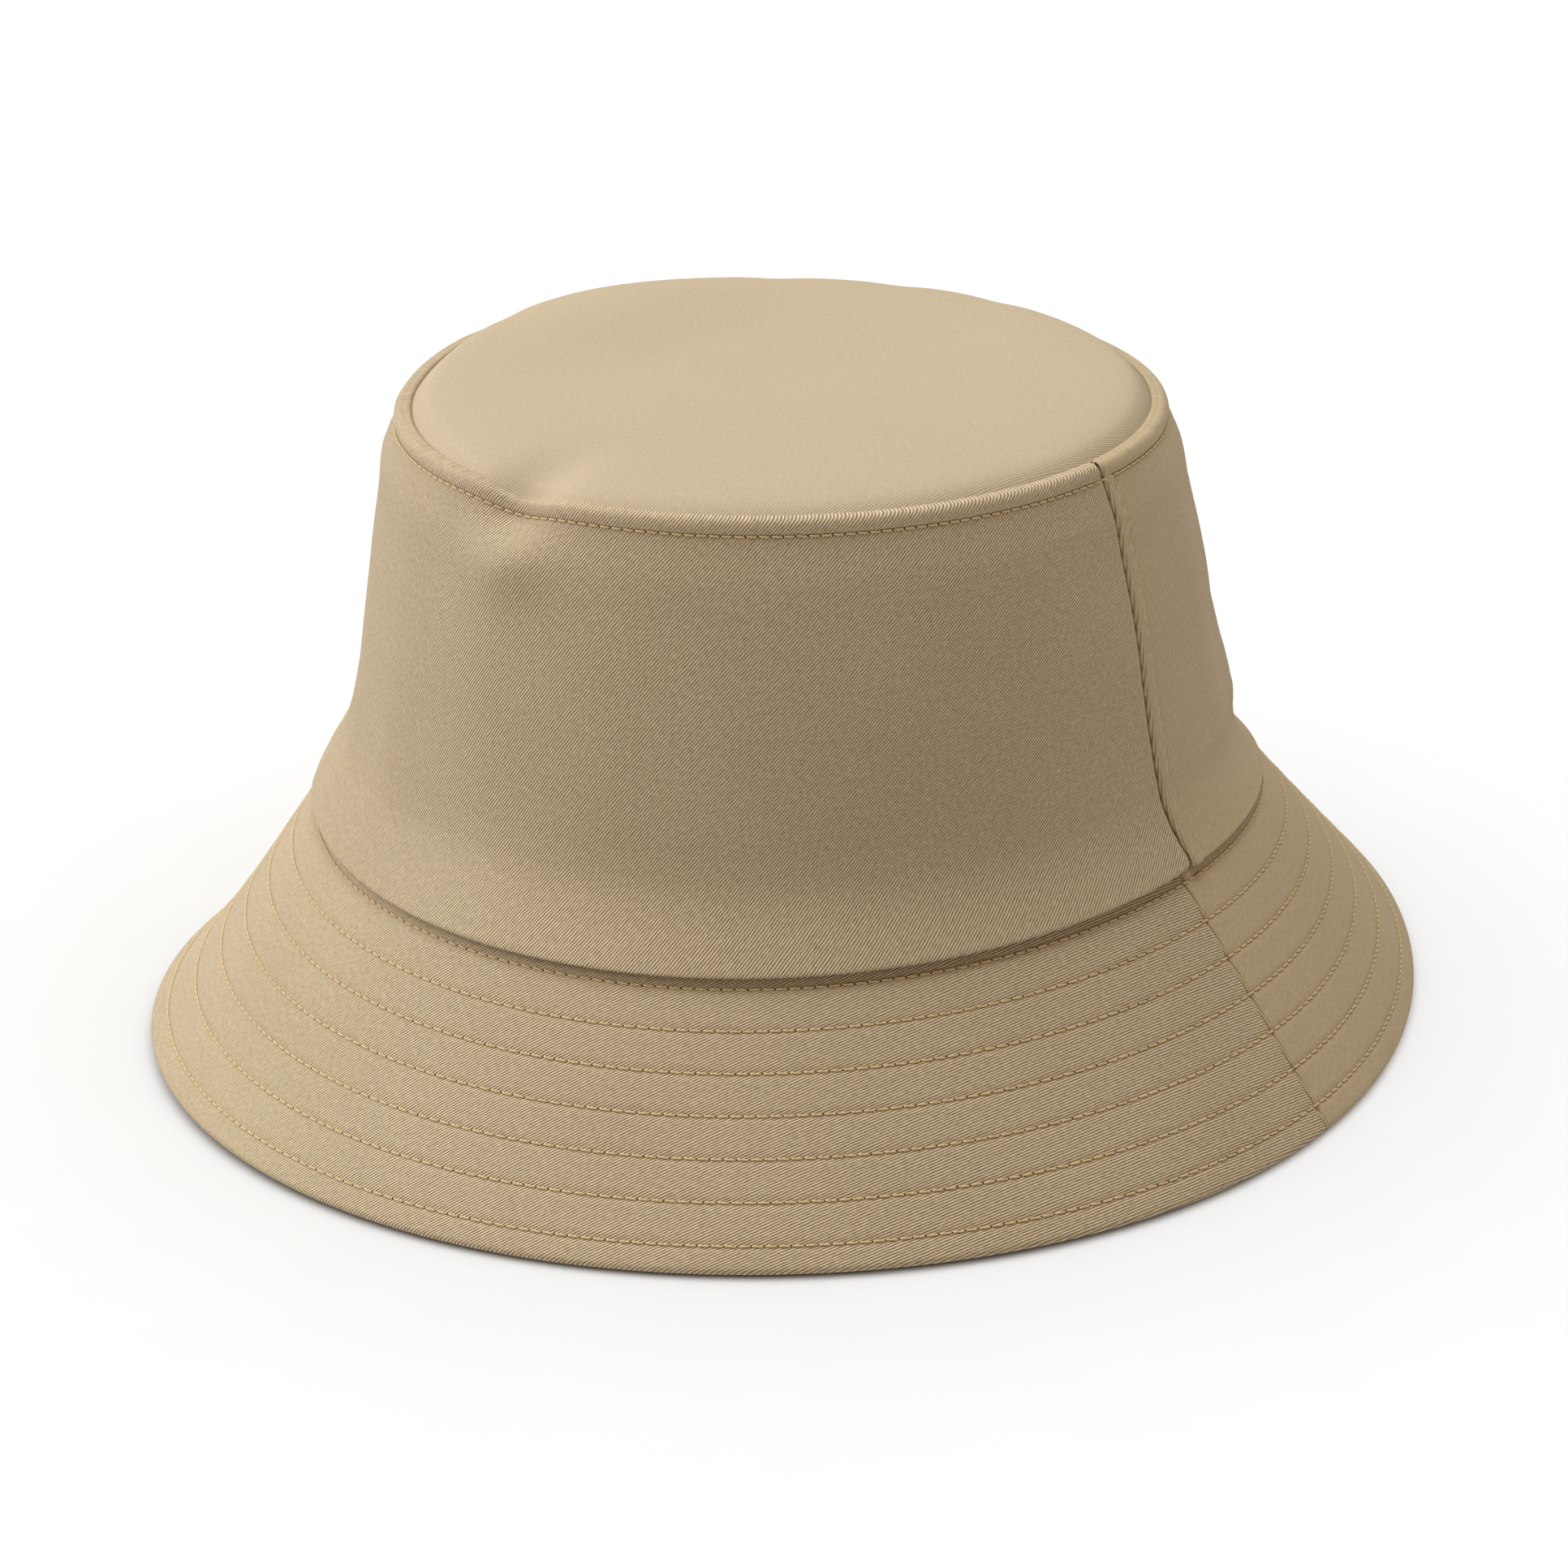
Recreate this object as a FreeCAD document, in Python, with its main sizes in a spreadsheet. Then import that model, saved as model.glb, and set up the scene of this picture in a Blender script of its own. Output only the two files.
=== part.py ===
import FreeCAD, Part
import Sketcher
import os

# A lined bucket hat that stands on its brim edge.
# Frame: +Z up, the wearer looks along -Y, the wearer's left is +X.
# The origin is on the floor, at the centre of the brim's outline.

document = FreeCAD.newDocument("bucket_hat")
sheet = document.addObject("Spreadsheet::Sheet", "Sizes")

SIZES = {
    # outline of the hat: half widths are across X, half lengths along Y, all to the outer face
    "tip_half_width": 70.5,
    "tip_half_length": 77.5,
    "tip_set_back": 0.5,
    "base_half_width": 90.0,
    "base_half_length": 101.0,
    "base_set_back": 5.5,
    "edge_half_width": 120.0,
    "edge_half_length": 134.0,
    "hat_height": 121.0,
    "brim_height": 43.0,
    "crown_overhang": 0.6,
    "crown_seam_back": 3.0,
    "brim_seam_back": 0.0,
    # cloths, by thickness
    "twill": 0.6,
    "interlining": 0.4,
    "brim_stiffener": 0.5,
    "lining_cloth": 0.4,
    "sweatband_cloth": 1.5,
    "ply_gap": 0.1,
    "seam_gap": 0.3,
    "turned_edge": 1.2,
    "sweatband_width": 34.0,
    # labels inside the hat
    "label_cloth": 0.3,
    "brand_label_width": 48.0,
    "brand_label_height": 18.0,
    "size_tab_width": 12.0,
    "size_tab_height": 10.0,
    "size_tab_gap": 5.0,
    "care_label_cloth": 0.5,
    "care_label_width": 26.0,
    "care_label_length": 30.0,
    "care_label_inset": 2.4,
    "care_label_drop": 0.5,
    # sewing
    "thread": 0.4,
    "thread_gap": 0.05,
    "crown_stitch_drop": 3.0,
    "side_stitch_back": 3.2,
    "first_row_from_seam": 2.5,
    "last_row_from_edge": 4.7,
    "sweatband_stitch_rise": 2.0,
}
for row, (alias, size) in enumerate(SIZES.items(), start=1):
    sheet.set(f"A{row}", alias)
    sheet.set(f"B{row}", str(size))
    sheet.setAlias(f"B{row}", alias)
document.recompute()

BRIM_ROWS = 7
pieces = []


def cell(alias):
    return f"Sizes.{alias}"


def total(*terms):
    return "(" + " + ".join(terms) + ")"


# Depths are measured inward from the outer face of the crown or the brim, along the horizontal.
def crown_depth(*cloths):
    return total("0", *[f"{cell(cloth)} + {cell('ply_gap')}" for cloth in cloths])


BRIM_RUN = f"({cell('edge_half_width')} - {cell('base_half_width')} + {cell('crown_overhang')})"
BRIM_SLANT = f"sqrt({BRIM_RUN} ^ 2 + {cell('brim_height')} ^ 2)"


def brim_depth(*cloths):
    return f"({crown_depth(*cloths)} * {BRIM_SLANT} / {cell('brim_height')})"


def crown_oval(level, depth):
    """Oval of the crown's side wall at a height, as expressions."""
    share = f"(({level}) - {cell('brim_height')}) / ({cell('hat_height')} - {cell('brim_height')})"

    def between(low, high):
        return f"{cell(low)} + ({cell(high)} - {cell(low)}) * {share}"

    return {
        "width": f"{between('base_half_width', 'tip_half_width')} - {depth}",
        "length": f"{between('base_half_length', 'tip_half_length')} - {depth}",
        "back": between("base_set_back", "tip_set_back"),
        "level": level,
    }


def brim_oval(level, depth):
    """Oval of the brim at a height, as expressions."""
    share = f"({level}) / {cell('brim_height')}"

    def between(low, high):
        return f"{cell(low)} + ({cell(high)} - {cell('crown_overhang')} - {cell(low)}) * {share}"

    return {
        "width": f"{between('edge_half_width', 'base_half_width')} - {depth}",
        "length": f"{between('edge_half_length', 'base_half_length')} - {depth}",
        "back": f"{cell('base_set_back')} * {share}",
        "level": level,
    }


def new_body(name):
    body = document.addObject("PartDesign::Body", name)
    body.Label = name
    return body


def flat_sketch(body, name, back, level):
    """Sketch parallel to the floor, its origin set back along Y and raised to a level."""
    sketch = body.newObject("Sketcher::SketchObject", name)
    floor = next(item for item in body.Origin.OriginFeatures if item.Role == "XY_Plane")
    sketch.AttachmentSupport = [(floor, "")]
    sketch.MapMode = "FlatFace"
    sketch.setExpression("AttachmentOffset.Base.y", back)
    sketch.setExpression("AttachmentOffset.Base.z", level)
    return sketch


def bind(sketch, constraint, expression):
    index = sketch.addConstraint(constraint)
    sketch.setExpression(f"Constraints[{index}]", expression)


def add_oval(sketch, width, length):
    """Ellipse about the sketch's origin; its length, along Y, is the longer way."""
    half_width = float(sketch.evalExpression(width))
    half_length = float(sketch.evalExpression(length))
    front = FreeCAD.Vector(0, half_length, 0)
    side = FreeCAD.Vector(half_width, 0, 0)
    oval = sketch.addGeometry(Part.Ellipse(front, side, FreeCAD.Vector(0, 0, 0)), False)
    sketch.exposeInternalGeometry(oval)
    long_axis = oval + 1
    short_axis = oval + 2
    sketch.addConstraint(Sketcher.Constraint("Coincident", oval, 3, -1, 1))
    sketch.addConstraint(Sketcher.Constraint("Vertical", long_axis))
    bind(sketch, Sketcher.Constraint("Distance", long_axis, 2 * half_length), f"2 * ({length})")
    bind(sketch, Sketcher.Constraint("Distance", short_axis, 2 * half_width), f"2 * ({width})")


def add_circle(sketch, x, y, radius):
    centre = FreeCAD.Vector(float(sketch.evalExpression(x)), float(sketch.evalExpression(y)), 0)
    size = float(sketch.evalExpression(radius))
    up = FreeCAD.Vector(0, 0, 1)
    circle = sketch.addGeometry(Part.Circle(centre, up, size), False)
    bind(sketch, Sketcher.Constraint("Radius", circle, size), radius)
    bind(sketch, Sketcher.Constraint("DistanceX", -1, 1, circle, 3, centre.x), x)
    bind(sketch, Sketcher.Constraint("DistanceY", -1, 1, circle, 3, centre.y), y)


def add_rectangle(sketch, x_low, x_high, y_low, y_high):
    x_ends = [float(sketch.evalExpression(end)) for end in (x_low, x_high)]
    y_ends = [float(sketch.evalExpression(end)) for end in (y_low, y_high)]
    corners = [
        FreeCAD.Vector(x_ends[0], y_ends[0], 0),
        FreeCAD.Vector(x_ends[1], y_ends[0], 0),
        FreeCAD.Vector(x_ends[1], y_ends[1], 0),
        FreeCAD.Vector(x_ends[0], y_ends[1], 0),
    ]
    sides = []
    for index in range(4):
        line = Part.LineSegment(corners[index], corners[(index + 1) % 4])
        sides.append(sketch.addGeometry(line, False))
    for index in range(4):
        following = sides[(index + 1) % 4]
        sketch.addConstraint(Sketcher.Constraint("Coincident", sides[index], 2, following, 1))
    for index, direction in enumerate(("Horizontal", "Vertical", "Horizontal", "Vertical")):
        sketch.addConstraint(Sketcher.Constraint(direction, sides[index]))
    bind(sketch, Sketcher.Constraint("DistanceX", -1, 1, sides[0], 1, x_ends[0]), x_low)
    bind(sketch, Sketcher.Constraint("DistanceX", -1, 1, sides[1], 1, x_ends[1]), x_high)
    bind(sketch, Sketcher.Constraint("DistanceY", -1, 1, sides[0], 1, y_ends[0]), y_low)
    bind(sketch, Sketcher.Constraint("DistanceY", -1, 1, sides[2], 1, y_ends[1]), y_high)


def oval_sketch(body, name, oval):
    sketch = flat_sketch(body, name, oval["back"], oval["level"])
    add_oval(sketch, oval["width"], oval["length"])
    return sketch


def loft(body, kind, name, low, high):
    """Straight loft between two ovals, added to the body or taken from it."""
    feature_low = oval_sketch(body, f"{name}_low", low)
    feature_high = oval_sketch(body, f"{name}_high", high)
    feature = body.newObject(f"PartDesign::{kind}", name)
    feature.Profile = feature_low
    feature.Sections = [feature_high]
    feature.Ruled = True
    return feature


def cut_checked(body, feature):
    """A cut that takes nothing away is a fault, so the volumes are compared."""
    before = body.Tip.BaseFeature.Shape.Volume if body.Tip.BaseFeature else body.Shape.Volume
    document.recompute()
    if feature.Shape.isNull() or feature.Shape.Volume >= before:
        raise RuntimeError(f"{feature.Name} in {body.Label} cuts nothing")


REACH = f"(2 * {cell('edge_half_length')} + 2 * {cell('edge_half_width')})"


def keep_window(body, name, window):
    """Cut away all of the body outside a rectangle seen from above."""
    sketch = flat_sketch(body, f"{name}_outline", "0", "-1")
    add_rectangle(sketch, f"-{REACH}", REACH, f"-{REACH}", REACH)
    add_rectangle(sketch, *window)
    pocket = body.newObject("PartDesign::Pocket", name)
    pocket.Profile = sketch
    pocket.Type = "Length"
    pocket.setExpression("Length", f"{cell('hat_height')} + 2")
    pocket.Reversed = True
    cut_checked(body, pocket)


HALF_REACH = f"({REACH} / 2)"


def front_window(seam):
    return f"-{HALF_REACH}", HALF_REACH, f"-{HALF_REACH}", f"{cell(seam)} - {cell('seam_gap')} / 2"


def back_window(seam):
    return f"-{HALF_REACH}", HALF_REACH, f"{cell(seam)} + {cell('seam_gap')} / 2", HALF_REACH


def wall(name, oval_at, low, high, outer, inner, window=None, room=None):
    """Thin wall between two depths of the crown or brim, from one height to another.

    A room is a wider hollow, from a height up to the wall's top, for what is sewn inside.
    """
    body = new_body(name)
    loft(body, "AdditiveLoft", f"{name}_outside", oval_at(low, outer), oval_at(high, outer))
    document.recompute()
    hollow = loft(body, "SubtractiveLoft", f"{name}_inside", oval_at(low, inner), oval_at(high, inner))
    cut_checked(body, hollow)
    if room:
        start, depth = room
        space = loft(body, "SubtractiveLoft", f"{name}_room", oval_at(start, depth), oval_at(high, depth))
        cut_checked(body, space)
    if window:
        keep_window(body, f"{name}_window", window)
    pieces.append(body)


def disc(name, depth, top, thickness):
    """Flat oval cloth under the top of the crown."""
    body = new_body(name)
    oval = crown_oval(top, depth)
    oval["level"] = f"{top} - {thickness}"
    pad = body.newObject("PartDesign::Pad", f"{name}_pad")
    pad.Profile = oval_sketch(body, f"{name}_oval", oval)
    pad.setExpression("Length", thickness)
    pieces.append(body)


def thread_ring(name, oval, inward=False):
    """Sewn line round the hat: a flat ring of thread just clear of the cloth."""
    body = new_body(name)
    sketch = flat_sketch(body, f"{name}_rings", oval["back"], oval["level"])
    near = f"- {cell('thread_gap')}" if inward else f"+ {cell('thread_gap')}"
    far = f"{near} - {cell('thread')}" if inward else f"{near} + {cell('thread')}"
    for offset in (near, far):
        add_oval(sketch, f"{oval['width']} {offset}", f"{oval['length']} {offset}")
    pad = body.newObject("PartDesign::Pad", f"{name}_pad")
    pad.Profile = sketch
    pad.setExpression("Length", cell("thread"))
    pieces.append(body)


# ---- brim: two outer halves, a stiffener in each, and two halves of under-brim ----
BRIM_TOP = f"{cell('brim_height')}"
UNDER_START = f"{cell('turned_edge')}"
STIFFENER_DEPTH = brim_depth("twill")
UNDER_DEPTH = brim_depth("twill", "brim_stiffener")
BRIM_DEPTH = brim_depth("twill", "brim_stiffener", "twill")

BRIM_HALVES = {"front": front_window("brim_seam_back"), "back": back_window("brim_seam_back")}
CROWN_HALVES = {"front": front_window("crown_seam_back"), "back": back_window("crown_seam_back")}

for side, window in BRIM_HALVES.items():
    room = (f"{UNDER_START} - {cell('ply_gap')}", f"({cell('twill')} * {BRIM_SLANT} / {cell('brim_height')})")
    wall(f"brim_upper_{side}", brim_oval, "0", BRIM_TOP, "0", BRIM_DEPTH, window, room)

for side, window in BRIM_HALVES.items():
    inner = f"({UNDER_DEPTH} - {cell('ply_gap')})"
    wall(f"brim_stiffener_{side}", brim_oval, UNDER_START, BRIM_TOP, STIFFENER_DEPTH, inner, window)

for side, window in BRIM_HALVES.items():
    inner = f"({BRIM_DEPTH} - {cell('ply_gap')})"
    wall(f"brim_under_{side}", brim_oval, UNDER_START, BRIM_TOP, UNDER_DEPTH, inner, window)

# ---- crown: tip and two side panels of twill, each on an interlining ----
WALL_LOW = f"{cell('brim_height')} + {cell('ply_gap')}"
TIP_TOP = cell("hat_height")
UNDER_TIP = f"{TIP_TOP} - {crown_depth('twill')}"
UNDER_TIP_INTERLINING = f"{TIP_TOP} - {crown_depth('twill', 'interlining')}"
UNDER_TIP_LINING = f"{TIP_TOP} - {crown_depth('twill', 'interlining', 'lining_cloth')}"
INTERLINING_DEPTH = crown_depth("twill")
LINING_DEPTH = crown_depth("twill", "interlining")
SWEATBAND_DEPTH = crown_depth("twill", "interlining", "lining_cloth")

disc("crown_tip", "0", TIP_TOP, cell("twill"))
for side, window in CROWN_HALVES.items():
    wall(f"side_panel_{side}", crown_oval, WALL_LOW, UNDER_TIP, "0", cell("twill"), window)

disc("tip_interlining", INTERLINING_DEPTH, UNDER_TIP, cell("interlining"))
for side, window in CROWN_HALVES.items():
    inner = f"({LINING_DEPTH} - {cell('ply_gap')})"
    name = f"side_interlining_{side}"
    wall(name, crown_oval, WALL_LOW, UNDER_TIP_INTERLINING, INTERLINING_DEPTH, inner, window)

# ---- lining, cut like the crown, and the sweatband round the opening ----
disc("lining_tip", LINING_DEPTH, UNDER_TIP_INTERLINING, cell("lining_cloth"))
for side, window in CROWN_HALVES.items():
    inner = f"({SWEATBAND_DEPTH} - {cell('ply_gap')})"
    name = f"lining_side_{side}"
    wall(name, crown_oval, WALL_LOW, UNDER_TIP_LINING, LINING_DEPTH, inner, window)

SWEATBAND_TOP = f"{WALL_LOW} + {cell('sweatband_width')}"
SWEATBAND_FACE = total(SWEATBAND_DEPTH, cell("sweatband_cloth"))
wall("sweatband", crown_oval, WALL_LOW, SWEATBAND_TOP, SWEATBAND_DEPTH, SWEATBAND_FACE)

# ---- labels: a blank one and a size tab on the back of the sweatband, a care label that hangs ----
LABEL_DEPTH = total(SWEATBAND_FACE, cell("ply_gap"))
LABEL_FACE = total(LABEL_DEPTH, cell("label_cloth"))
BAND_MIDDLE = f"({WALL_LOW} + {cell('sweatband_width')} / 2)"


def band_label(name, x_low, x_high, height):
    low = f"{BAND_MIDDLE} - {height} / 2"
    high = f"{BAND_MIDDLE} + {height} / 2"
    window = (x_low, x_high, cell("base_set_back"), HALF_REACH)
    wall(name, crown_oval, low, high, LABEL_DEPTH, LABEL_FACE, window)


brand_half = f"({cell('brand_label_width')} / 2)"
band_label("brand_label", f"-{brand_half}", brand_half, cell("brand_label_height"))
tab_low = f"{brand_half} + {cell('size_tab_gap')}"
tab_high = f"{tab_low} + {cell('size_tab_width')}"
band_label("size_tab", tab_low, tab_high, cell("size_tab_height"))


def care_label():
    """Flap sewn in by its top edge at the wearer's left, hanging straight down inside the brim."""
    body = new_body("care_label")
    top = f"{cell('brim_height')} - {cell('care_label_drop')}"
    bottom = f"{top} - {cell('care_label_length')}"
    sketch = flat_sketch(body, "care_label_outline", cell("crown_seam_back"), bottom)
    face = f"({cell('base_half_width')} - {cell('crown_overhang')} - {BRIM_DEPTH} - {cell('care_label_inset')})"
    half = f"({cell('care_label_width')} / 2)"
    add_rectangle(sketch, f"{face} - {cell('care_label_cloth')}", face, f"-{half}", half)
    pad = body.newObject("PartDesign::Pad", "care_label_pad")
    pad.Profile = sketch
    pad.setExpression("Length", cell("care_label_length"))
    pieces.append(body)


care_label()

# ---- sewing thread ----
crown_stitch_level = f"{TIP_TOP} - {cell('crown_stitch_drop')}"
thread_ring("crown_edge_stitch", crown_oval(crown_stitch_level, "0"))


def side_stitch(name, sign):
    """Straight row down the back panel beside one side seam."""
    body = new_body(name)
    sketches = []
    clear = f"({cell('thread')} / 2 + {cell('thread_gap')})"
    low = f"{WALL_LOW} + {cell('thread')}"
    high = f"{crown_stitch_level} - {cell('thread')}"
    behind = f"{cell('crown_seam_back')} + {cell('side_stitch_back')}"
    for end, level in (("low", low), ("high", high)):
        oval = crown_oval(level, "0")
        sketch = flat_sketch(body, f"{name}_{end}", "0", level)
        add_circle(sketch, f"{sign}({oval['width']} + {clear})", behind, f"{cell('thread')} / 2")
        sketches.append(sketch)
    feature = body.newObject("PartDesign::AdditiveLoft", f"{name}_loft")
    feature.Profile = sketches[0]
    feature.Sections = [sketches[1]]
    pieces.append(body)


side_stitch("side_stitch_left", "")
side_stitch("side_stitch_right", "-")

for number in range(1, BRIM_ROWS + 1):
    spread = f"{BRIM_SLANT} - {cell('first_row_from_seam')} - {cell('last_row_from_edge')}"
    from_seam = f"({cell('first_row_from_seam')} + ({spread}) * {number - 1} / {BRIM_ROWS - 1})"
    row_level = f"({cell('brim_height')} * (1 - {from_seam} / {BRIM_SLANT}))"
    thread_ring(f"brim_stitch_{number}", brim_oval(row_level, "0"))

band_stitch_level = f"{WALL_LOW} + {cell('sweatband_stitch_rise')}"
band_stitch = crown_oval(f"{band_stitch_level} + {cell('thread')}", SWEATBAND_FACE)
band_stitch["level"] = band_stitch_level
thread_ring("sweatband_stitch", band_stitch, inward=True)

# ---- checks and files ----
document.recompute()
for item in document.Objects:
    if "Invalid" in item.State or "Error" in item.State:
        raise RuntimeError(f"{item.Name} did not compute: {item.State}")
for piece in pieces:
    if piece.Shape.isNull() or not piece.Shape.isValid() or len(piece.Shape.Solids) != 1:
        raise RuntimeError(f"{piece.Label} is not one valid solid")

os.makedirs("parts", exist_ok=True)
for piece in pieces:
    piece.Shape.exportStep(f"parts/{piece.Label}.step")
print(len(pieces), "pieces")
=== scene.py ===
import math

import bpy
import numpy as np
from mathutils import Matrix, Vector


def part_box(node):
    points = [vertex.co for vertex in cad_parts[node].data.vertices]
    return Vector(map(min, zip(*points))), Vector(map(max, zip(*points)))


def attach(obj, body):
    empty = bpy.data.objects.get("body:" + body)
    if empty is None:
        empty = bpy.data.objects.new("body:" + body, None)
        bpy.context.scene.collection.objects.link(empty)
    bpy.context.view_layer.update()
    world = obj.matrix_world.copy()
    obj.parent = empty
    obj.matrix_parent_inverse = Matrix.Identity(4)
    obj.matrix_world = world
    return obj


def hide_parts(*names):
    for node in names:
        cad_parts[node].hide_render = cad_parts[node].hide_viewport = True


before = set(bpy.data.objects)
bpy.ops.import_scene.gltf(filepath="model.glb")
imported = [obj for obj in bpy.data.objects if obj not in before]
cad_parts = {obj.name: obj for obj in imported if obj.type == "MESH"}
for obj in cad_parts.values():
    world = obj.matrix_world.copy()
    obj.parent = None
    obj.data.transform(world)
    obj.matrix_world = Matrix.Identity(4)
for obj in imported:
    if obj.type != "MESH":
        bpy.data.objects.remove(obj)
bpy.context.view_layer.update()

# A khaki bucket hat laid down on its brim: every cloth, row of stitches and label of the CAD
# model is made again as soft cloth, in the CAD's own frame.

MM = 0.001
HAT = "hat"
chance = np.random.default_rng(11)

# ---------------- sizes, from the frame


def nodes_box(*nodes):
    """Lowest and highest corners of some CAD nodes together."""
    corners = [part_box(node) for node in nodes]
    low = np.min([corner[0] for corner in corners], axis=0)
    high = np.max([corner[1] for corner in corners], axis=0)
    return low, high


def oval_of(low, high, level):
    """(half width, half length, set-back, height) of an oval that fills a box from above."""
    return np.array([high[0], (high[1] - low[1]) / 2, (high[1] + low[1]) / 2, level])


tip_low, tip_high = nodes_box("crown_tip")
side_low, side_high = nodes_box("side_panel_front", "side_panel_back")
brim_low, brim_high = nodes_box("brim_upper_front", "brim_upper_back")
band_low, band_high = nodes_box("sweatband")

TIP = oval_of(tip_low, tip_high, tip_high[2])
BASE = oval_of(side_low, side_high, brim_high[2])
EDGE = oval_of(brim_low, brim_high, 0.0)
CROWN_HEIGHT = TIP[3] - BASE[3]
OVERHANG = 0.6 * MM
BRIM_TOP = BASE - np.array([OVERHANG, OVERHANG, 0, 0])

# Seam places, cloths and sewing sizes, which the frame's boxes can't give.
CROWN_SEAM_Y = 3.0 * MM
BRIM_SEAM_Y = 0.0
TWILL = 0.6 * MM
INTERLINING = 0.4 * MM
STIFFENER = 0.5 * MM
LINING = 0.4 * MM
PLY_GAP = 0.1 * MM
BRIM_THICKNESS = 2 * TWILL + STIFFENER + 3 * PLY_GAP
SWEATBAND = 1.5 * MM
BRIM_SLANT = math.hypot(EDGE[0] - BRIM_TOP[0], BRIM_TOP[3])
BRIM_ROWS = 7
FIRST_ROW = 2.5 * MM
LAST_ROW = 4.7 * MM
STITCH_PITCH = 2.4 * MM
CROWN_STITCH_DROP = 3.0 * MM
CROWN_STITCH_PITCH = 2.25 * MM
SWEATBAND_STITCH_PITCH = 3.0 * MM
SIDE_STITCH_BACK = 3.4 * MM

# ---------------- curves and surfaces


def smooth(x):
    """0 up to 0, 1 from 1, and a smooth step between."""
    x = np.clip(x, 0, 1)
    return x * x * (3 - 2 * x)


def hill(distance, width):
    """1 at no distance, fading away on both sides over the width."""
    return np.exp(-((distance / width) ** 2))


def curve_through(points, samples_per_span):
    """Catmull-Rom curve through the points, an array of samples."""
    points = np.asarray(points, float)
    padded = np.vstack([2 * points[0] - points[1], points, 2 * points[-1] - points[-2]])
    t = np.linspace(0, 1, samples_per_span, endpoint=False)[:, None]
    spans = []
    for a, b, c, d in zip(padded, padded[1:], padded[2:], padded[3:]):
        square = (2 * a - 5 * b + 4 * c - d) * t**2
        cube = (3 * b - a - 3 * c + d) * t**3
        spans.append(0.5 * (2 * b + (c - a) * t + square + cube))
    return np.vstack(spans + [points[-1:]])


def blend_ovals(low, high, share):
    """The oval at a share of the way between two others, or one for each share."""
    share = np.asarray(share, float)[..., None]
    return low + (high - low) * share


def oval_point(oval, angle):
    """Points on ovals at the angles of their ellipse formula."""
    x = oval[..., 0] * np.cos(angle)
    y = oval[..., 2] + oval[..., 1] * np.sin(angle)
    z = oval[..., 3] + 0 * x
    return np.stack([x, y, z], axis=-1)


def plan_normal(oval, angle):
    """Level unit vectors straight out of an oval."""
    x = oval[..., 1] * np.cos(angle)
    y = oval[..., 0] * np.sin(angle)
    length = np.hypot(x, y)
    return np.stack([x / length, y / length, 0 * x], axis=-1)


def crown_point(angle, height, out):
    """Point on the crown's side wall: height above the base seam, out from the wall."""
    oval = blend_ovals(BASE, TIP, np.asarray(height) / CROWN_HEIGHT)
    return oval_point(oval, angle) + plan_normal(oval, angle) * np.asarray(out)[..., None]


def brim_point(angle, share, out):
    """Point on the brim and its normal: share is from the seam (0) to the edge (1), out along the normal."""
    oval = blend_ovals(BRIM_TOP, EDGE, share)
    tangent_x = -oval[..., 0] * np.sin(angle)
    tangent_y = oval[..., 1] * np.cos(angle)
    tangent = np.stack([tangent_x, tangent_y, 0 * tangent_x], axis=-1)
    slant = oval_point(EDGE, angle) - oval_point(BRIM_TOP, angle)
    normal = np.cross(slant, tangent)
    normal /= np.linalg.norm(normal, axis=-1, keepdims=True)
    return oval_point(oval, angle) + normal * np.asarray(out)[..., None], normal


def seam_angle(oval, seam_y):
    """Angle where an oval meets the wearer's left side seam."""
    return np.arcsin((seam_y - oval[..., 2]) / oval[..., 1])


def half_angle(oval, seam_y, half, across):
    """Angle on an oval, across one half of it from its first seam (0) to its last (1)."""
    seam = seam_angle(oval, seam_y)
    if half == "front":
        return (math.pi - seam) + (math.pi + 2 * seam) * across
    return seam + (math.pi - 2 * seam) * across


ARC_ANGLES = np.linspace(-math.pi, 3 * math.pi, 2881)


def arc_table(oval):
    """Arc length along an oval against angle, from angle -pi."""
    points = oval_point(np.broadcast_to(oval, ARC_ANGLES.shape + (4,)), ARC_ANGLES)
    steps = np.linalg.norm(np.diff(points, axis=0), axis=1)
    return np.concatenate([[0], np.cumsum(steps)])


BASE_ARC = arc_table(BASE)
TIP_ARC = arc_table(TIP)
EDGE_ARC = arc_table(EDGE)
BRIM_TOP_ARC = arc_table(BRIM_TOP)
TURN = len(ARC_ANGLES) // 2


def girth(arc):
    """Length once round the oval of an arc table."""
    return arc[TURN] - arc[0]


# ---------------- how the soft hat sits
# The cloth isn't a perfect oval: the crown leans, has a dent and soft folds, and the brim waves.
# Every layer and stitch goes through the same warp, so nothing comes apart or pokes through.

# The crown's lean: how far its base and its tip move, the tip's slopes, and how far its edge comes out.
BASE_SHIFT = np.array([0.3, 1.2, 0.2]) * MM
TIP_SHIFT = np.array([-0.6, -0.5, 0.3]) * MM
TIP_TILT = np.array([-0.017, -0.017])
TIP_REACH = -1.3 * MM
# Where the crown's upper part is fuller: azimuth and spread in degrees, how far out.
TIP_FULL = (40, 62, 2.4 * MM)
# Where the back of the tip stands higher: azimuth and spread in degrees, rise.
TIP_RISES = ((128, 85, 1.0 * MM), (172, 36, 2.4 * MM))
# How the base seam waves up and down: (turns, cosine, sine).
BASE_WAVE = ((2, 0.9 * MM, 1.2 * MM),)
# Where the base seam draws in behind, and where it drops: azimuth and spread in degrees, how far.
BASE_DRAW = (68, 48, 7.8 * MM)
BASE_DROP = (104, 56, 5.5 * MM)
# Where the brim hollows most of the way down: azimuth and spread in degrees, depth.
BRIM_HOLLOW = (-165, 34, 3.0 * MM)
# Makes the highest value of share * share * (1 - share) come to 1.
HOLLOW_SCALE = 6.75
# Where the tip's edge rolls over backwards: azimuth and spread in degrees, depth.
EDGE_ROLL = (126, 104, 3.3 * MM)
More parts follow.
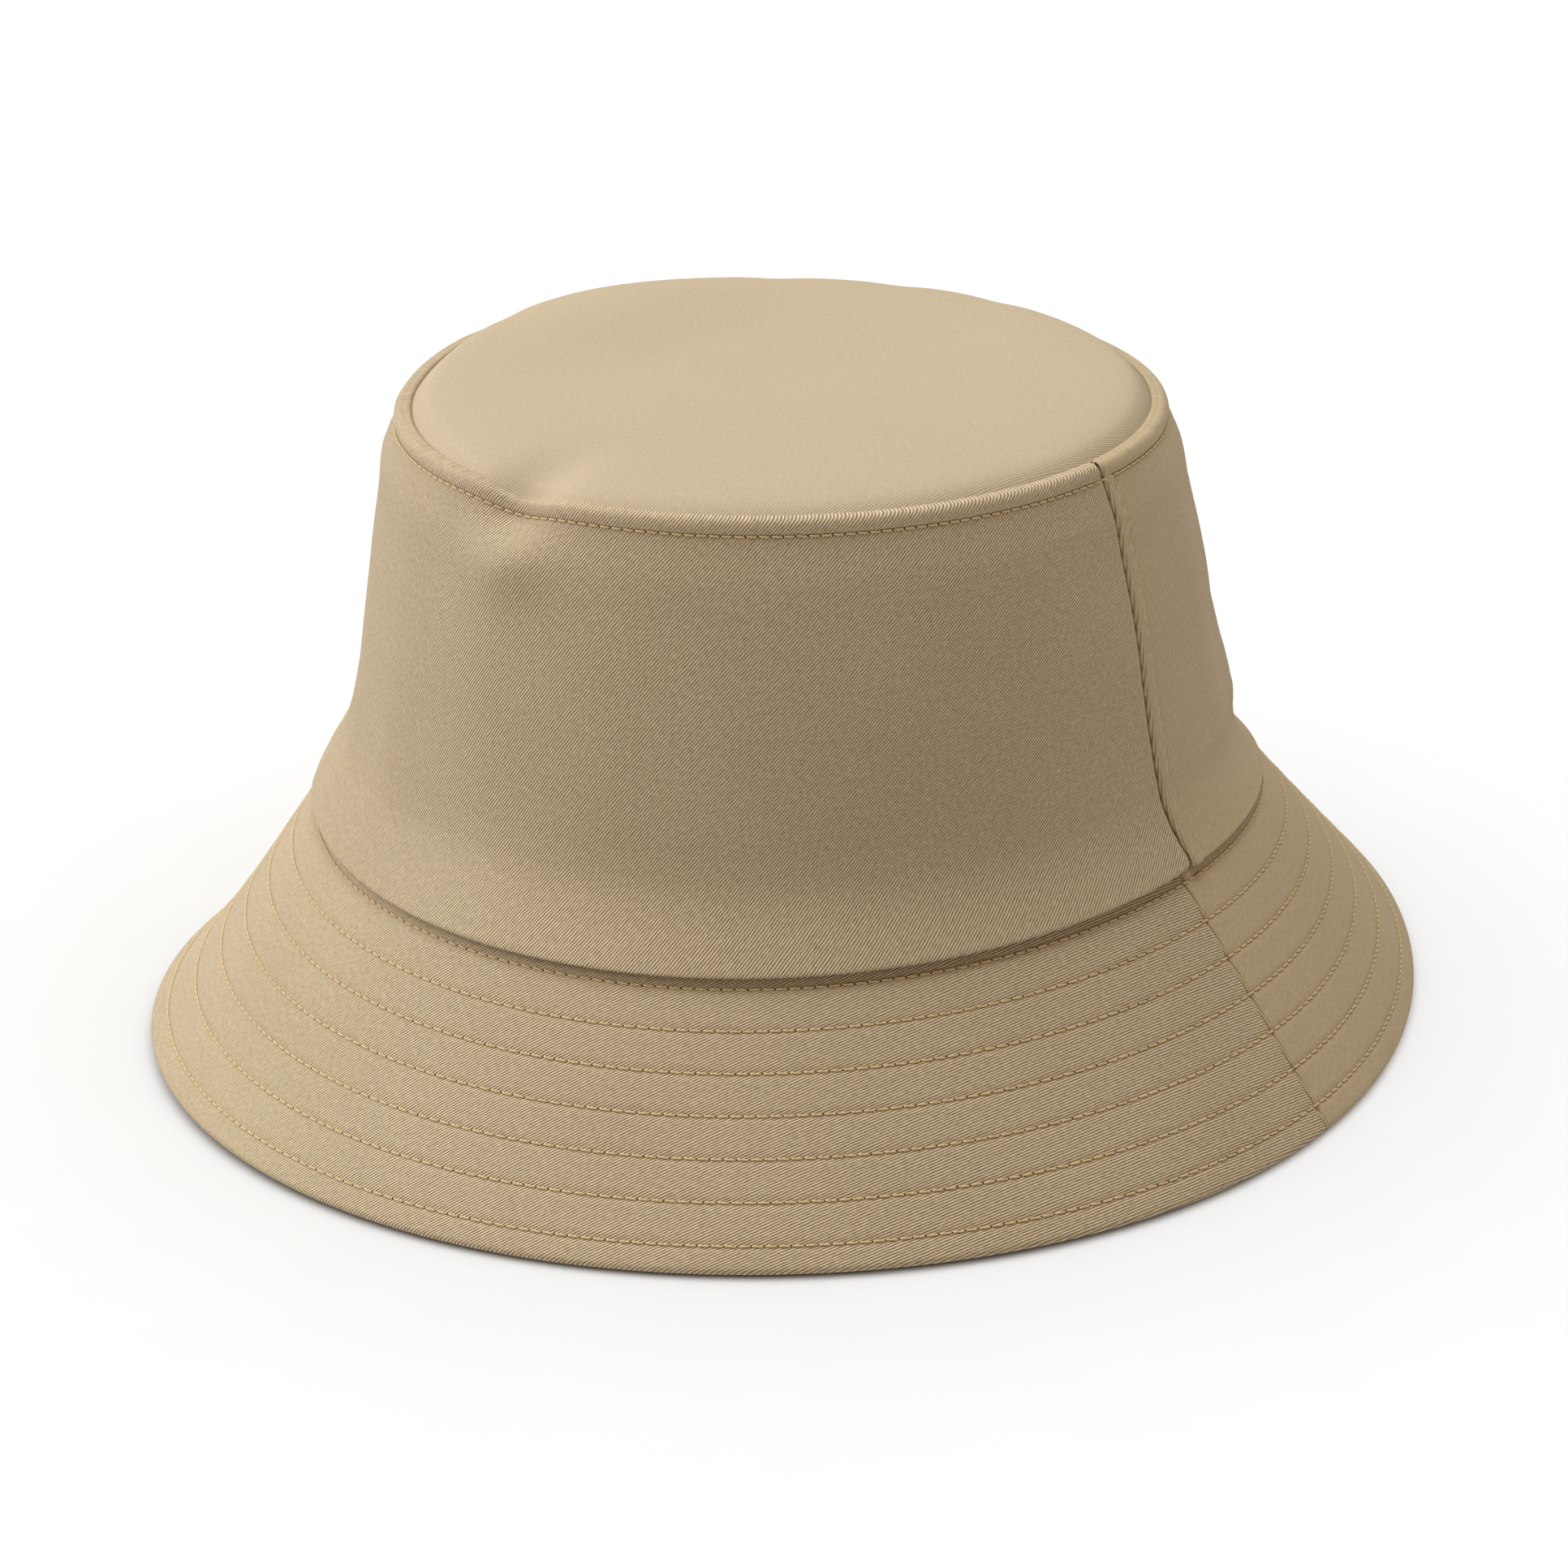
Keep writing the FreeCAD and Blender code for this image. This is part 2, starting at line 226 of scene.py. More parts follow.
# How far the brim's edge stands off the floor, and out from its oval: (turns, cosine, sine).
EDGE_LIFT = (
    (0, 1.7 * MM, 0.0),
    (1, -0.1 * MM, 0.8 * MM),
    (2, -0.9 * MM, 0.1 * MM),
    (3, 0.2 * MM, -0.6 * MM),
)
EDGE_REACH = (
    (0, -0.6 * MM, 0.0),
    (1, 2.4 * MM, 1.2 * MM),
    (2, 0.3 * MM, 0.0),
    (3, 1.2 * MM, -2.0 * MM),
)

# The waist: the share of its depth that the wall draws in at each height above the base seam.
WAIST_HEIGHTS = np.array([0, 5, 9, 13, 18, 26, 36, 46, 56, 63, 68, 72, 75, 78]) * MM
WAIST_SHAPE = np.array([0, 0.08, 0.35, 0.8, 1.0, 1.02, 0.95, 0.76, 0.45, 0.15, -0.08, -0.16, -0.05, 0])
# Its depth all round, and more of it at some places: azimuth and spread in degrees, depth.
WAIST_EVERYWHERE = 0.8 * MM
WAISTS = ((-155, 46, 2.0 * MM), (62, 60, 1.6 * MM), (140, 45, 2.0 * MM))
# Where the wall draws in above its foot, so that the foot flares: azimuth and spread in degrees,
# depth, heights above the base seam, and the share of the depth at each of them.
FLARES = (
    (
        -60, 58, 4.7 * MM,
        np.array([0, 4, 8, 11, 14, 18, 26, 40, 62]) * MM,
        (0, 0.3, 0.66, 0.92, 1.0, 0.97, 0.76, 0.36, 0),
    ),
    (
        68, 56, 3.7 * MM,
        np.array([0, 2, 4, 7, 10, 12, 14, 16, 19, 23, 28, 36, 50]) * MM,
        (0.3, 0.65, 0.9, 0.9, 0.6, 0.25, -0.1, -0.35, -0.42, -0.34, -0.1, 0.25, 0.3),
    ),
)

# Upright folds in the wall: azimuth and width in degrees, lowest and highest share of the crown's
# height, and how far they stand out in mm.
FOLDS = (
    (-139, 3.0, 0.35, 0.92, 0.7),
    (-146, 4.0, 0.35, 0.92, -0.6),
    (-136, 3.0, 0.02, 0.26, 0.6),
    (-128, 3.2, 0.04, 0.24, 0.45),
    (-112, 6.0, 0.1, 0.6, 0.35),
    (-88, 7.0, 0.2, 0.7, -0.35),
    (-60, 8.0, 0.1, 0.8, 0.3),
    (-35, 7.0, 0.1, 0.7, -0.35),
    (19, 4.0, 0.2, 0.9, 0.4),
    (29, 3.5, 0.1, 0.8, -0.4),
    (85, 8.0, 0.2, 0.8, 0.5),
    (120, 10.0, 0.1, 0.8, -0.7),
    (150, 8.0, 0.1, 0.8, 0.6),
)
# One dent in the crown's edge: azimuth in degrees, width along the edge, how far it goes in and down,
# the bulge below it on the wall, and the trough that runs from it over the tip.
DENT = {
    "azimuth": -93,
    "width": 8.0 * MM,
    "in": 2.4 * MM,
    "down": 2.2 * MM,
    "bulge": 2.0 * MM,
    "bulge_below": 13 * MM,
    "wall_spread": 6 * MM,
    "edge_spread": 8 * MM,
    "trough": 2.3 * MM,
    "trough_width": 6.4 * MM,
    "trough_start": 6 * MM,
    "trough_reach": 30 * MM,
}
# Small kinks in the tip's edge: azimuths and spread in degrees, depth.
KINKS = (129, 107, 88, -173)
KINK_SPREAD = 4.5
KINK_DEPTH = 0.35 * MM


def beside(azimuth, centre, spread):
    """1 at a centre azimuth, fading away on both sides over a spread, both in degrees."""
    gap = azimuth - math.radians(centre)
    return hill(np.arctan2(np.sin(gap), np.cos(gap)), math.radians(spread))


def waves(azimuth, terms):
    """Sum of waves round the hat, each given as (turns, cosine part, sine part)."""
    total = np.zeros_like(azimuth)
    for turns, cosine, sine in terms:
        total += cosine * np.cos(turns * azimuth) + sine * np.sin(turns * azimuth)
    return total


def waist(azimuth, above_base):
    """How far the wall comes out, mostly negative: its waist, and the flare of its foot."""
    depth = np.full_like(azimuth, WAIST_EVERYWHERE)
    for centre, spread, size in WAISTS:
        depth += size * beside(azimuth, centre, spread)
    drawn_in = depth * np.interp(above_base, WAIST_HEIGHTS, WAIST_SHAPE)
    flare = np.zeros_like(azimuth)
    for centre, spread, size, heights, shape in FLARES:
        there = size * beside(azimuth, centre, spread)
        flare += there * np.interp(above_base, heights, shape, left=0)
    return -drawn_in - flare


def dent(p, moved, from_top):
    """Pushes moved points in and down at one place of the crown's edge; p are the plain ones."""
    centre = math.radians(DENT["azimuth"])
    place = np.array([TIP[0] * math.cos(centre), TIP[2] + TIP[1] * math.sin(centre)])
    aside = np.array([-math.sin(centre), math.cos(centre)])
    inward = -np.array([math.cos(centre), math.sin(centre)])
    offset = p[:, :2] - place
    sideways = offset @ aside
    inwards = offset @ inward
    across = hill(sideways, DENT["width"]) * (inwards < TIP[1])
    at_edge = hill(from_top, DENT["edge_spread"])

    out = DENT["bulge"] * hill(from_top - DENT["bulge_below"], DENT["wall_spread"])
    out -= DENT["in"] * hill(from_top - 2 * MM, DENT["wall_spread"])
    out *= smooth(1 - inwards / DENT["edge_spread"])
    moved[:, :2] -= (across * out)[:, None] * inward

    edge_down = DENT["down"] * at_edge * hill(np.maximum(inwards, 0), DENT["edge_spread"])
    trough = DENT["trough"] * at_edge * hill(sideways, DENT["trough_width"])
    trough *= smooth(inwards / DENT["trough_start"]) * smooth(1 - inwards / DENT["trough_reach"])
    moved[:, 2] -= across * edge_down + trough


def base_and_brim(azimuth, up, down):
    """How far points come out and rise as the base seam draws in and drops and the brim hollows."""
    at_base = (1 - np.clip(up, 0, 1)) * (1 - np.clip(down, 0, 1))
    centre, spread, depth = BASE_DRAW
    out = -depth * beside(azimuth, centre, spread) * at_base
    centre, spread, depth = BRIM_HOLLOW
    down_brim = np.clip(down, 0, 1)
    out -= depth * beside(azimuth, centre, spread) * HOLLOW_SCALE * down_brim**2 * (1 - down_brim)
    centre, spread, drop = BASE_DROP
    rise = waves(azimuth, BASE_WAVE) * at_base - drop * beside(azimuth, centre, spread) * at_base
    return out, rise


def tip_rise(azimuth, radius, from_top):
    """How far points near the top rise: the high places of the back, the rolled edge and its kinks."""
    rise = np.zeros_like(azimuth)
    for centre, spread, height in TIP_RISES:
        raised = beside(azimuth, centre, spread) * smooth((radius - 0.3) / 0.5)
        rise += height * raised * smooth(1 - from_top / (30 * MM))
    centre, spread, depth = EDGE_ROLL
    rolled = beside(azimuth, centre, spread) * smooth((radius - 0.91) / 0.08)
    rise -= depth * rolled * hill(from_top, 9 * MM)
    for centre in KINKS:
        kink = beside(azimuth, centre, KINK_SPREAD) * smooth((radius - 0.75) / 0.2)
        rise -= KINK_DEPTH * kink * hill(from_top, 8 * MM)
    return rise


def warp(points):
    """Where a point of the plain oval hat lies on the soft one."""
    shape = points.shape
    p = points.reshape(-1, 3).copy()
    above_base = p[:, 2] - BASE[3]
    from_top = CROWN_HEIGHT - above_base
    height = above_base / CROWN_HEIGHT
    up = np.clip(height, 0, 1.1)
    down = np.clip(-above_base / BASE[3], 0, 1.1)
    at_base = (1 - np.clip(up, 0, 1)) * (1 - np.clip(down, 0, 1))
    azimuth = np.arctan2(p[:, 1] - BASE[2] * (1 - down), p[:, 0])
    outward = np.stack([np.cos(azimuth), np.sin(azimuth)], axis=1)
    # Distance from the hat's axis, where 1 is the tip's edge.
    radius = np.hypot(p[:, 0] / TIP[0], (p[:, 1] - TIP[2]) / TIP[1])

    centre, spread, depth = TIP_FULL
    fuller = depth * beside(azimuth, centre, spread) * smooth((height - 0.2) / 0.4)
    base_out, base_rise = base_and_brim(azimuth, up, down)
    reach = TIP_REACH * smooth((height - 0.6) / 0.35) + fuller + base_out
    push = waist(azimuth, above_base)
    for centre, width, low, high, depth in FOLDS:
        along = smooth((height - low + 0.12) / 0.24) * smooth((high + 0.12 - height) / 0.24)
        push += depth * MM * beside(azimuth, centre, width) * along
    out = reach * smooth(radius / 0.5) + push * smooth((radius - 0.86) / 0.12)
    out += waves(azimuth, EDGE_REACH) * down

    moved = p + BASE_SHIFT * at_base[:, None] + TIP_SHIFT * up[:, None]
    moved[:, :2] += outward * out[:, None]
    moved[:, 2] += base_rise + (p[:, :2] @ TIP_TILT) * up + waves(azimuth, EDGE_LIFT) * down
    moved[:, 2] += tip_rise(azimuth, radius, from_top)
    dent(p, moved, from_top)
    return moved.reshape(shape)


def lowest_edge():
    """Height of the lowest point of the warped brim's edge."""
    everywhere = np.ones(len(ARC_ANGLES))
    edge, _ = brim_point(ARC_ANGLES, everywhere, -BRIM_THICKNESS * everywhere)
    return warp(edge)[:, 2].min()


FLOOR_LIFT = np.array([0, 0, -lowest_edge()])


def settle(points):
    """The warped hat, raised so that the lowest part of its brim edge is on the floor."""
    return warp(points) + FLOOR_LIFT


# ---------------- meshes

CLOTH_MAP = "Weave"
# Columns of faces round half of a wall or brim layer, and all round a tip layer or the sweatband.
WALL_COLUMNS = 290
BRIM_COLUMNS = 380
UNDER_COLUMNS = 300
STIFFENER_COLUMNS = 100
FELT_COLUMNS = 90
LINING_COLUMNS = 160
TIP_COLUMNS = 420
TIP_FELT_COLUMNS = 120
BAND_COLUMNS = 360
# Angles of the cloth's ridges from level at a piece's middle, in degrees.
WALL_WALES = 55
TIP_WALES = 80
BRIM_WALES = 45
BAND_WALES = 35
STRAIGHT = 0
# Columns beside a side seam: the finest step, and how far from the seam they are closer.
SEAM_STEP = 0.10 * MM
SEAM_ZONE = 7 * MM
SEAM_COLUMNS = 12


def add_piece(name, node, verts, faces, cloth, material, body=HAT, more=()):
    """A smooth-shaded piece that stands for a CAD node and rides on a body.

    cloth is a flat-cloth coordinate in metres for each vertex; more holds faces that aren't quads.
    """
    mesh = bpy.data.meshes.new(name)
    mesh.from_pydata(verts.tolist(), [], faces.tolist() + list(more))
    mesh.polygons.foreach_set("use_smooth", [True] * len(mesh.polygons))
    mesh.update()
    piece = bpy.data.objects.new(name, mesh)
    bpy.context.scene.collection.objects.link(piece)
    corners = np.empty(len(mesh.loops), dtype=np.int32)
    mesh.loops.foreach_get("vertex_index", corners)
    layer = mesh.uv_layers.new(name=CLOTH_MAP)
    layer.data.foreach_set("uv", cloth[corners].astype(np.float32).ravel())
    mesh.materials.append(material)
    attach(piece, body)
    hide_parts(node)
    return piece


def grid_faces(rows, columns, start=0, flip=False, closed=False):
    """Quads of a grid of vertex numbers from a start; a closed grid joins its last column to its first."""
    index = np.arange(rows * columns).reshape(rows, columns) + start
    right = np.roll(index, -1, axis=1) if closed else index[:, 1:]
    left = index if closed else index[:, :-1]
    quads = np.stack([left[:-1], right[:-1], right[1:], left[1:]], axis=-1).reshape(-1, 4)
    return quads[:, ::-1] if flip else quads


def shell_mesh(outer, inner, closed=False):
    """Verts and faces of a cloth with thickness, between two grids of points."""
    rows, columns = outer.shape[:2]
    count = rows * columns
    verts = np.concatenate([outer.reshape(-1, 3), inner.reshape(-1, 3)])
    index = np.arange(count).reshape(rows, columns)
    parts = [grid_faces(rows, columns, 0, False, closed), grid_faces(rows, columns, count, True, closed)]

    def strip(line, flip):
        other = line + count
        quads = np.stack([line[:-1], other[:-1], other[1:], line[1:]], axis=-1)
        parts.append(quads[:, ::-1] if flip else quads)

    loop = np.concatenate([index[0], index[0][:1]]) if closed else index[0]
    end = np.concatenate([index[-1], index[-1][:1]]) if closed else index[-1]
    strip(loop, False)
    strip(end, True)
    if not closed:
        strip(index[:, 0], True)
        strip(index[:, -1], False)
    return verts, np.concatenate(parts)


def turned(u, v, wale_angle):
    """Cloth coordinates turned so that the twill's ridges run along the first one."""
    angle = math.radians(wale_angle)
    along = u * math.cos(angle) + v * math.sin(angle)
    across = -u * math.sin(angle) + v * math.cos(angle)
    return np.stack([along, across], axis=-1)


def sector_cloth(arc_low, arc_high, slant, angle, share_up, middle, wale_angle):
    """Flat-pattern coordinates of a ring cut as a sector: straight grain at its middle."""
    low = girth(arc_low)
    high = girth(arc_high)
    apex = slant * low / (low - high)
    along = np.interp(angle, ARC_ANGLES, arc_low) - np.interp(middle, ARC_ANGLES, arc_low)
    turn = along / apex
    radius = apex - slant * share_up
    return turned(radius * np.sin(turn), -radius * np.cos(turn), wale_angle)


def dense_ends(count, length):
    """Shares from 0 to 1 over a length, with closer steps near both ends."""
    near = SEAM_ZONE * np.linspace(0, 1, SEAM_COLUMNS) ** 2
    near = np.maximum(near, SEAM_STEP * np.arange(SEAM_COLUMNS)) / length
    middle = np.linspace(near[-1], 1 - near[-1], count)
    return np.unique(np.concatenate([near, middle, 1 - near]))


def half_cloth(arc_low, arc_high, slant, angle, share_up, half, wale_angle):
    """Flat-pattern coordinates of one half of a ring, for its two faces."""
    if half == "front":
        angle = angle - 2 * math.pi
        middle = -math.pi / 2
    else:
        middle = math.pi / 2
    cloth = sector_cloth(arc_low, arc_high, slant, angle, share_up, middle, wale_angle)
    return np.tile(cloth.reshape(-1, 2), (2, 1))


# ---------------- material nodes


# Noise scales in these materials are per metre, along and across the cloth.


class Graph:
    """A material's nodes, made one line at a time; a value may be a number or another node's socket."""

    def __init__(self, name):
        self.material = bpy.data.materials.new(name)
        self.material.use_nodes = True
        self.tree = self.material.node_tree
        self.shader = self.tree.nodes["Principled BSDF"]

    def node(self, kind, inputs=None, **settings):
        node = self.tree.nodes.new(kind)
        for key, value in settings.items():
            setattr(node, key, value)
        for key, value in (inputs or {}).items():
            self.put(node.inputs[key], value)
        return node

    def put(self, socket, value):
        if isinstance(value, bpy.types.NodeSocket):
            self.tree.links.new(value, socket)
        else:
            socket.default_value = value

    def math(self, operation, a, b=0.0, c=0.0):
        return self.node("ShaderNodeMath", {0: a, 1: b, 2: c}, operation=operation).outputs[0]

    def add(self, a, b):
        return self.math("ADD", a, b)

    def times(self, a, b):
        return self.math("MULTIPLY", a, b)

    def sine(self, a):
        return self.math("SINE", a)

    def mix(self, factor, a, b):
        node = self.node("ShaderNodeMix", data_type="RGBA")
        self.put(node.inputs["Factor"], factor)
        self.put(node.inputs["A"], a)
        self.put(node.inputs["B"], b)
        return node.outputs["Result"]

    def noise(self, vector, scale, detail=2.0):
        inputs = {"Vector": vector, "Scale": scale, "Detail": detail}
        return self.node("ShaderNodeTexNoise", inputs).outputs["Fac"]

    def cloth(self):
        """(along, across) coordinates of the cloth in metres, and both as a vector."""
        uv = self.node("ShaderNodeUVMap", uv_map=CLOTH_MAP).outputs["UV"]
        split = self.node("ShaderNodeSeparateXYZ", {0: uv})
        return split.outputs["X"], split.outputs["Y"], uv

    def bump(self, height, distance, strength=1.0):
        inputs = {"Height": height, "Distance": distance, "Strength": strength}
        return self.node("ShaderNodeBump", inputs).outputs["Normal"]

    def scaled(self, vector, factors):
        return self.node("ShaderNodeVectorMath", {0: vector, 1: factors}, operation="MULTIPLY").outputs[0]

    def surface(self, sockets):
        """Sets or links the shader's sockets by name, and gives the finished material."""
        for name, value in sockets.items():
            self.put(self.shader.inputs[name], value)
        return self.material


def twill(name, ridge_colour, groove_shade_colour, pitch, depth):
    """Twill cloth: rounded ridges of yarn across the second cloth coordinate, with slubs; the grooves
    between ridges take a darker colour as painted shade.
    """
    g = Graph(name)
    along, across, uv = g.cloth()
    drift = g.noise(g.scaled(uv, (120.0, 420.0, 1.0)), 1.0, 2.0)
    phase = g.add(g.math("DIVIDE", across, pitch), g.times(drift, 0.6))
    ridge = g.math("ABSOLUTE", g.sine(g.times(phase, math.pi)))
    bead_phase = g.add(g.math("DIVIDE", along, pitch * 0.95), g.times(phase, 0.5))
    bead = g.sine(g.times(bead_phase, 2 * math.pi))
    weave = g.times(ridge, g.add(0.92, g.times(bead, 0.08)))
    yarn = g.noise(g.scaled(uv, (900.0, 2300.0, 1.0)), 1.0, 1.0)
    cloud = g.noise(g.scaled(uv, (30.0, 30.0, 1.0)), 1.0, 3.0)
    shade = g.add(g.times(yarn, 0.7), g.times(cloud, 0.16))
    shade = g.add(weave, g.math("SUBTRACT", shade, 0.45))
    # Painted shade: the ramp darkens the grooves between ridges towards the groove colour, over the yarn's
    # own speckle.
    ramp = g.node("ShaderNodeValToRGB", {"Fac": shade})
    ramp.color_ramp.elements[0].position = 0.05
    ramp.color_ramp.elements[0].color = (*groove_shade_colour, 1)
    ramp.color_ramp.elements[1].position = 1.0
    ramp.color_ramp.elements[1].color = (*ridge_colour, 1)
    sockets = {
        "Base Color": ramp.outputs["Color"],
        "Roughness": g.add(0.92, g.times(weave, -0.14)),
        "Normal": g.bump(g.add(weave, g.times(yarn, 0.4)), depth),
        "Specular IOR Level": 0.2,
        "Sheen Weight": 0.08,
        "Sheen Roughness": 0.5,
    }
    return g.surface(sockets)


def plain_weave(name, light, dark, pitch, depth, roughness=0.85):
    """Plain cloth: threads over and under each other."""
    g = Graph(name)
    along, across, uv = g.cloth()
    warp_wave = g.sine(g.times(along, 2 * math.pi / pitch))
    weft_wave = g.sine(g.times(across, 2 * math.pi / pitch))
    weave = g.times(warp_wave, weft_wave)
    slub = g.noise(g.scaled(uv, (160.0, 1500.0, 1.0)), 1.0, 2.0)
    cloud = g.noise(uv, 35.0, 3.0)
    shade = g.add(g.times(weave, 0.2), g.times(slub, 0.5))
    shade = g.add(shade, g.times(cloud, 0.5))
    sockets = {
        "Base Color": g.mix(shade, (*dark, 1), (*light, 1)),
        "Roughness": g.add(roughness, g.times(weave, 0.05)),
        "Normal": g.bump(g.add(weave, slub), depth),
        "Specular IOR Level": 0.25,
    }
    return g.surface(sockets)


def felted(name, light, dark, depth):
    """Non-woven cloth: matted fibres."""
    g = Graph(name)
    _, _, uv = g.cloth()
    fibres = g.noise(g.scaled(uv, (900.0, 2400.0, 1.0)), 1.0, 4.0)
    cloud = g.noise(uv, 60.0, 3.0)
    shade = g.times(g.add(fibres, cloud), 0.5)
    sockets = {
        "Base Color": g.mix(shade, (*dark, 1), (*light, 1)),
        "Roughness": g.add(0.85, g.times(fibres, 0.1)),
        "Normal": g.bump(fibres, depth),
    }
    return g.surface(sockets)


def sewing_thread(name, light, dark):
    """Two-ply thread: twist lines slant along each stitch."""
    g = Graph(name)
    along, across, uv = g.cloth()
    twist = g.add(g.math("DIVIDE", along, 0.55 * MM), g.times(across, 2.0))
    ply = g.sine(g.times(twist, 2 * math.pi))
    ply = g.add(g.times(ply, 0.5), 0.5)
    fuzz = g.noise(g.scaled(uv, (2500.0, 9.0, 1.0)), 1.0, 2.0)
    shade = g.add(g.times(ply, 0.6), g.times(fuzz, 0.4))
    sockets = {
        "Base Color": g.mix(shade, (*dark, 1), (*light, 1)),
        "Roughness": g.math("SUBTRACT", 0.7, g.times(ply, 0.15)),
        "Normal": g.bump(ply, 0.05 * MM),
        "Sheen Weight": 0.2,
    }
    return g.surface(sockets)


# The same cloth shows its ridges most on the front, and looks smoothest on top and behind. These are lit and
# shaded copies of one twill: painted shade gives the front copy darker, more saturated grooves and the back
# copy a milder version of them, and painted even light makes the tip copy paler and flatter.
WALE = 0.48 * MM
TWILL_FRONT_PAINTED_SHADE = twill("khaki_twill_front_painted_shade", (0.64, 0.515, 0.345), (0.20, 0.14, 0.075), WALE, 0.15 * MM)
TWILL_BACK_PAINTED_SHADE = twill("khaki_twill_back_painted_shade", (0.58, 0.455, 0.29), (0.27, 0.197, 0.107), WALE, 0.1 * MM)
TWILL_TIP_PAINTED_LIGHT = twill("khaki_twill_tip_painted_light", (0.50, 0.405, 0.278), (0.335, 0.26, 0.17), WALE, 0.05 * MM)
BAND_CLOTH = twill("sweatband_twill", (0.50, 0.40, 0.27), (0.30, 0.22, 0.14), 0.7 * MM, 0.08 * MM)
LIT_AND_SHADED_TWILLS = {"front": TWILL_FRONT_PAINTED_SHADE, "back": TWILL_BACK_PAINTED_SHADE}
LINING_CLOTH = plain_weave("lining_cotton", (0.58, 0.48, 0.34), (0.44, 0.35, 0.235), 0.45 * MM, 0.05 * MM)
LABEL_CLOTH = plain_weave("label_satin", (0.86, 0.83, 0.77), (0.76, 0.73, 0.67), 0.35 * MM, 0.03 * MM, 0.55)
FELT_CLOTH = felted("interlining_felt", (0.74, 0.71, 0.65), (0.62, 0.59, 0.53), 0.05 * MM)
THREAD = sewing_thread("khaki_thread", (0.66, 0.50, 0.245), (0.47, 0.335, 0.145))
# Painted shade: a near-black cloth for the shadowed needle holes.
HOLE_SHADE = felted("needle_hole_shade", (0.10, 0.07, 0.04), (0.05, 0.035, 0.02), 0.02 * MM)

# ---------------- crown: side panels

# The ends of the wall's section, as (out, height) in mm: its foot from under the base seam, and its
# head to the turn under the tip, whose heights count from the crown's top.
WALL_FOOT = (
    (-1.9, 1.5),
    (-1.0, 1.5),
    (-0.2, 0.95),
    (0.7, 0.3),
    (1.35, 0.2),
    (1.75, 0.6),
    (1.75, 1.3),
    (1.45, 2.6),
    (0.95, 4.8),
    (0.4, 8.0),
    (0.05, 13.0),
)
WALL_HEAD = (
    (0.1, -17.0),
    (0.4, -12.5),
    (0.35, -9.5),
    (0.0, -6.5),
    (-0.15, -4.6),
    (-0.18, -3.5),
    (-0.34, -3.0),
    (-0.08, -2.5),
    (0.18, -1.8),
    (0.2, -1.0),
    (-0.05, -0.4),
    (-0.6, -0.05),
    (-1.3, 0.0),
    (-1.95, -0.25),
    (-2.4, -0.8),
    (-2.6, -1.5),
    (-2.65, -2.2),
)


WALL_SPAN_STEPS = 5
WALL_MIDDLE_ROWS = 46


def wall_profile():
    """(out, height) samples of the side wall's outer face, in metres."""
    foot = curve_through(WALL_FOOT, WALL_SPAN_STEPS)
    head = curve_through(WALL_HEAD, WALL_SPAN_STEPS)
    head[:, 1] += CROWN_HEIGHT / MM
    middle = np.linspace(foot[-1], head[0], WALL_MIDDLE_ROWS)[1:-1]
    return np.vstack([foot, middle, head]) * MM


def seam_relief(distance, half, height):
    """How far the cloth stands out beside a side seam: a groove, and on the back a sewn ridge."""
    on_roll = smooth((height - CROWN_HEIGHT + CROWN_STITCH_DROP) / (0.8 * MM))
    if half == "front":
        width = (0.6 + 0.5 * on_roll) * MM
        groove = -(1.0 + 0.4 * on_roll) * MM * hill(distance, width)
        return groove + 0.15 * MM * hill(distance - 2.2 * MM, 1.5 * MM)
    groove = -0.3 * MM * hill(distance, 0.25 * MM)
    ridge_start = smooth(0.3 + distance / (0.9 * MM))
    ridge_end = smooth((SIDE_STITCH_BACK - distance) / (0.6 * MM))
    dip = -0.25 * MM * hill(distance - SIDE_STITCH_BACK, 0.45 * MM)
    return groove + (0.36 * MM * ridge_start * ridge_end + dip) * (1 - on_roll)


def corner_lift(distance, half, height):
    """How far the bottom edge rises beside a side seam: the front panel's corner is rounded."""
    if half == "back":
        return 0 * height
    return 1.4 * MM * np.exp(-distance / (1.6 * MM)) * smooth(1 - height / (6 * MM))


def crown_half(name, half, profile, depth, seam_detail, columns, wale_angle, material, slot, node):
    """One side panel, or a layer behind it: profile is its outer face, depth its thickness."""
    across = dense_ends(columns, girth(BASE_ARC) / 2)
    height = profile[:, 1][:, None] + 0 * across[None]
    oval = blend_ovals(BASE, TIP, height / CROWN_HEIGHT)
    angle = half_angle(oval, CROWN_SEAM_Y, half, across[None])
    to_seam = np.minimum(across, 1 - across)[None] * girth(BASE_ARC) / 2
    out = profile[:, 0][:, None] + 0 * across[None]
    if seam_detail:
        # Past the rolled edge the cloth faces inward, so the groove fades there and turns over.
        over_the_roll = smooth((-out - 0.4 * MM) / (1.6 * MM))
        out = out + seam_relief(to_seam, half, height) * (1 - 1.4 * over_the_roll)
        height = height + corner_lift(to_seam, half, height)
    outer = settle(crown_point(angle, height, out))
    inner = settle(crown_point(angle, height, out - depth))
    verts, faces = shell_mesh(outer, inner)
    slant = math.hypot(CROWN_HEIGHT, BASE[0] - TIP[0])
    cloth = half_cloth(BASE_ARC, TIP_ARC, slant, angle, height / CROWN_HEIGHT, half, wale_angle)
    add_piece(name, node, verts, faces, cloth, material)


# Each wall half takes its copy of the twill, with painted shade.
for half in ("front", "back"):
    cloth = LIT_AND_SHADED_TWILLS[half]
    node = f"side_panel_{half}"
    wall = wall_profile()
    crown_half(f"side_{half}", half, wall, TWILL, True, WALL_COLUMNS, WALL_WALES, cloth, "outer_twill", node)


def layer_profile(depth, foot, head, rows):
    """Section of a plain layer inside the wall, between two heights."""
    heights = np.linspace(foot, head, rows)
    return np.stack([np.full(rows, -depth), heights], axis=1)


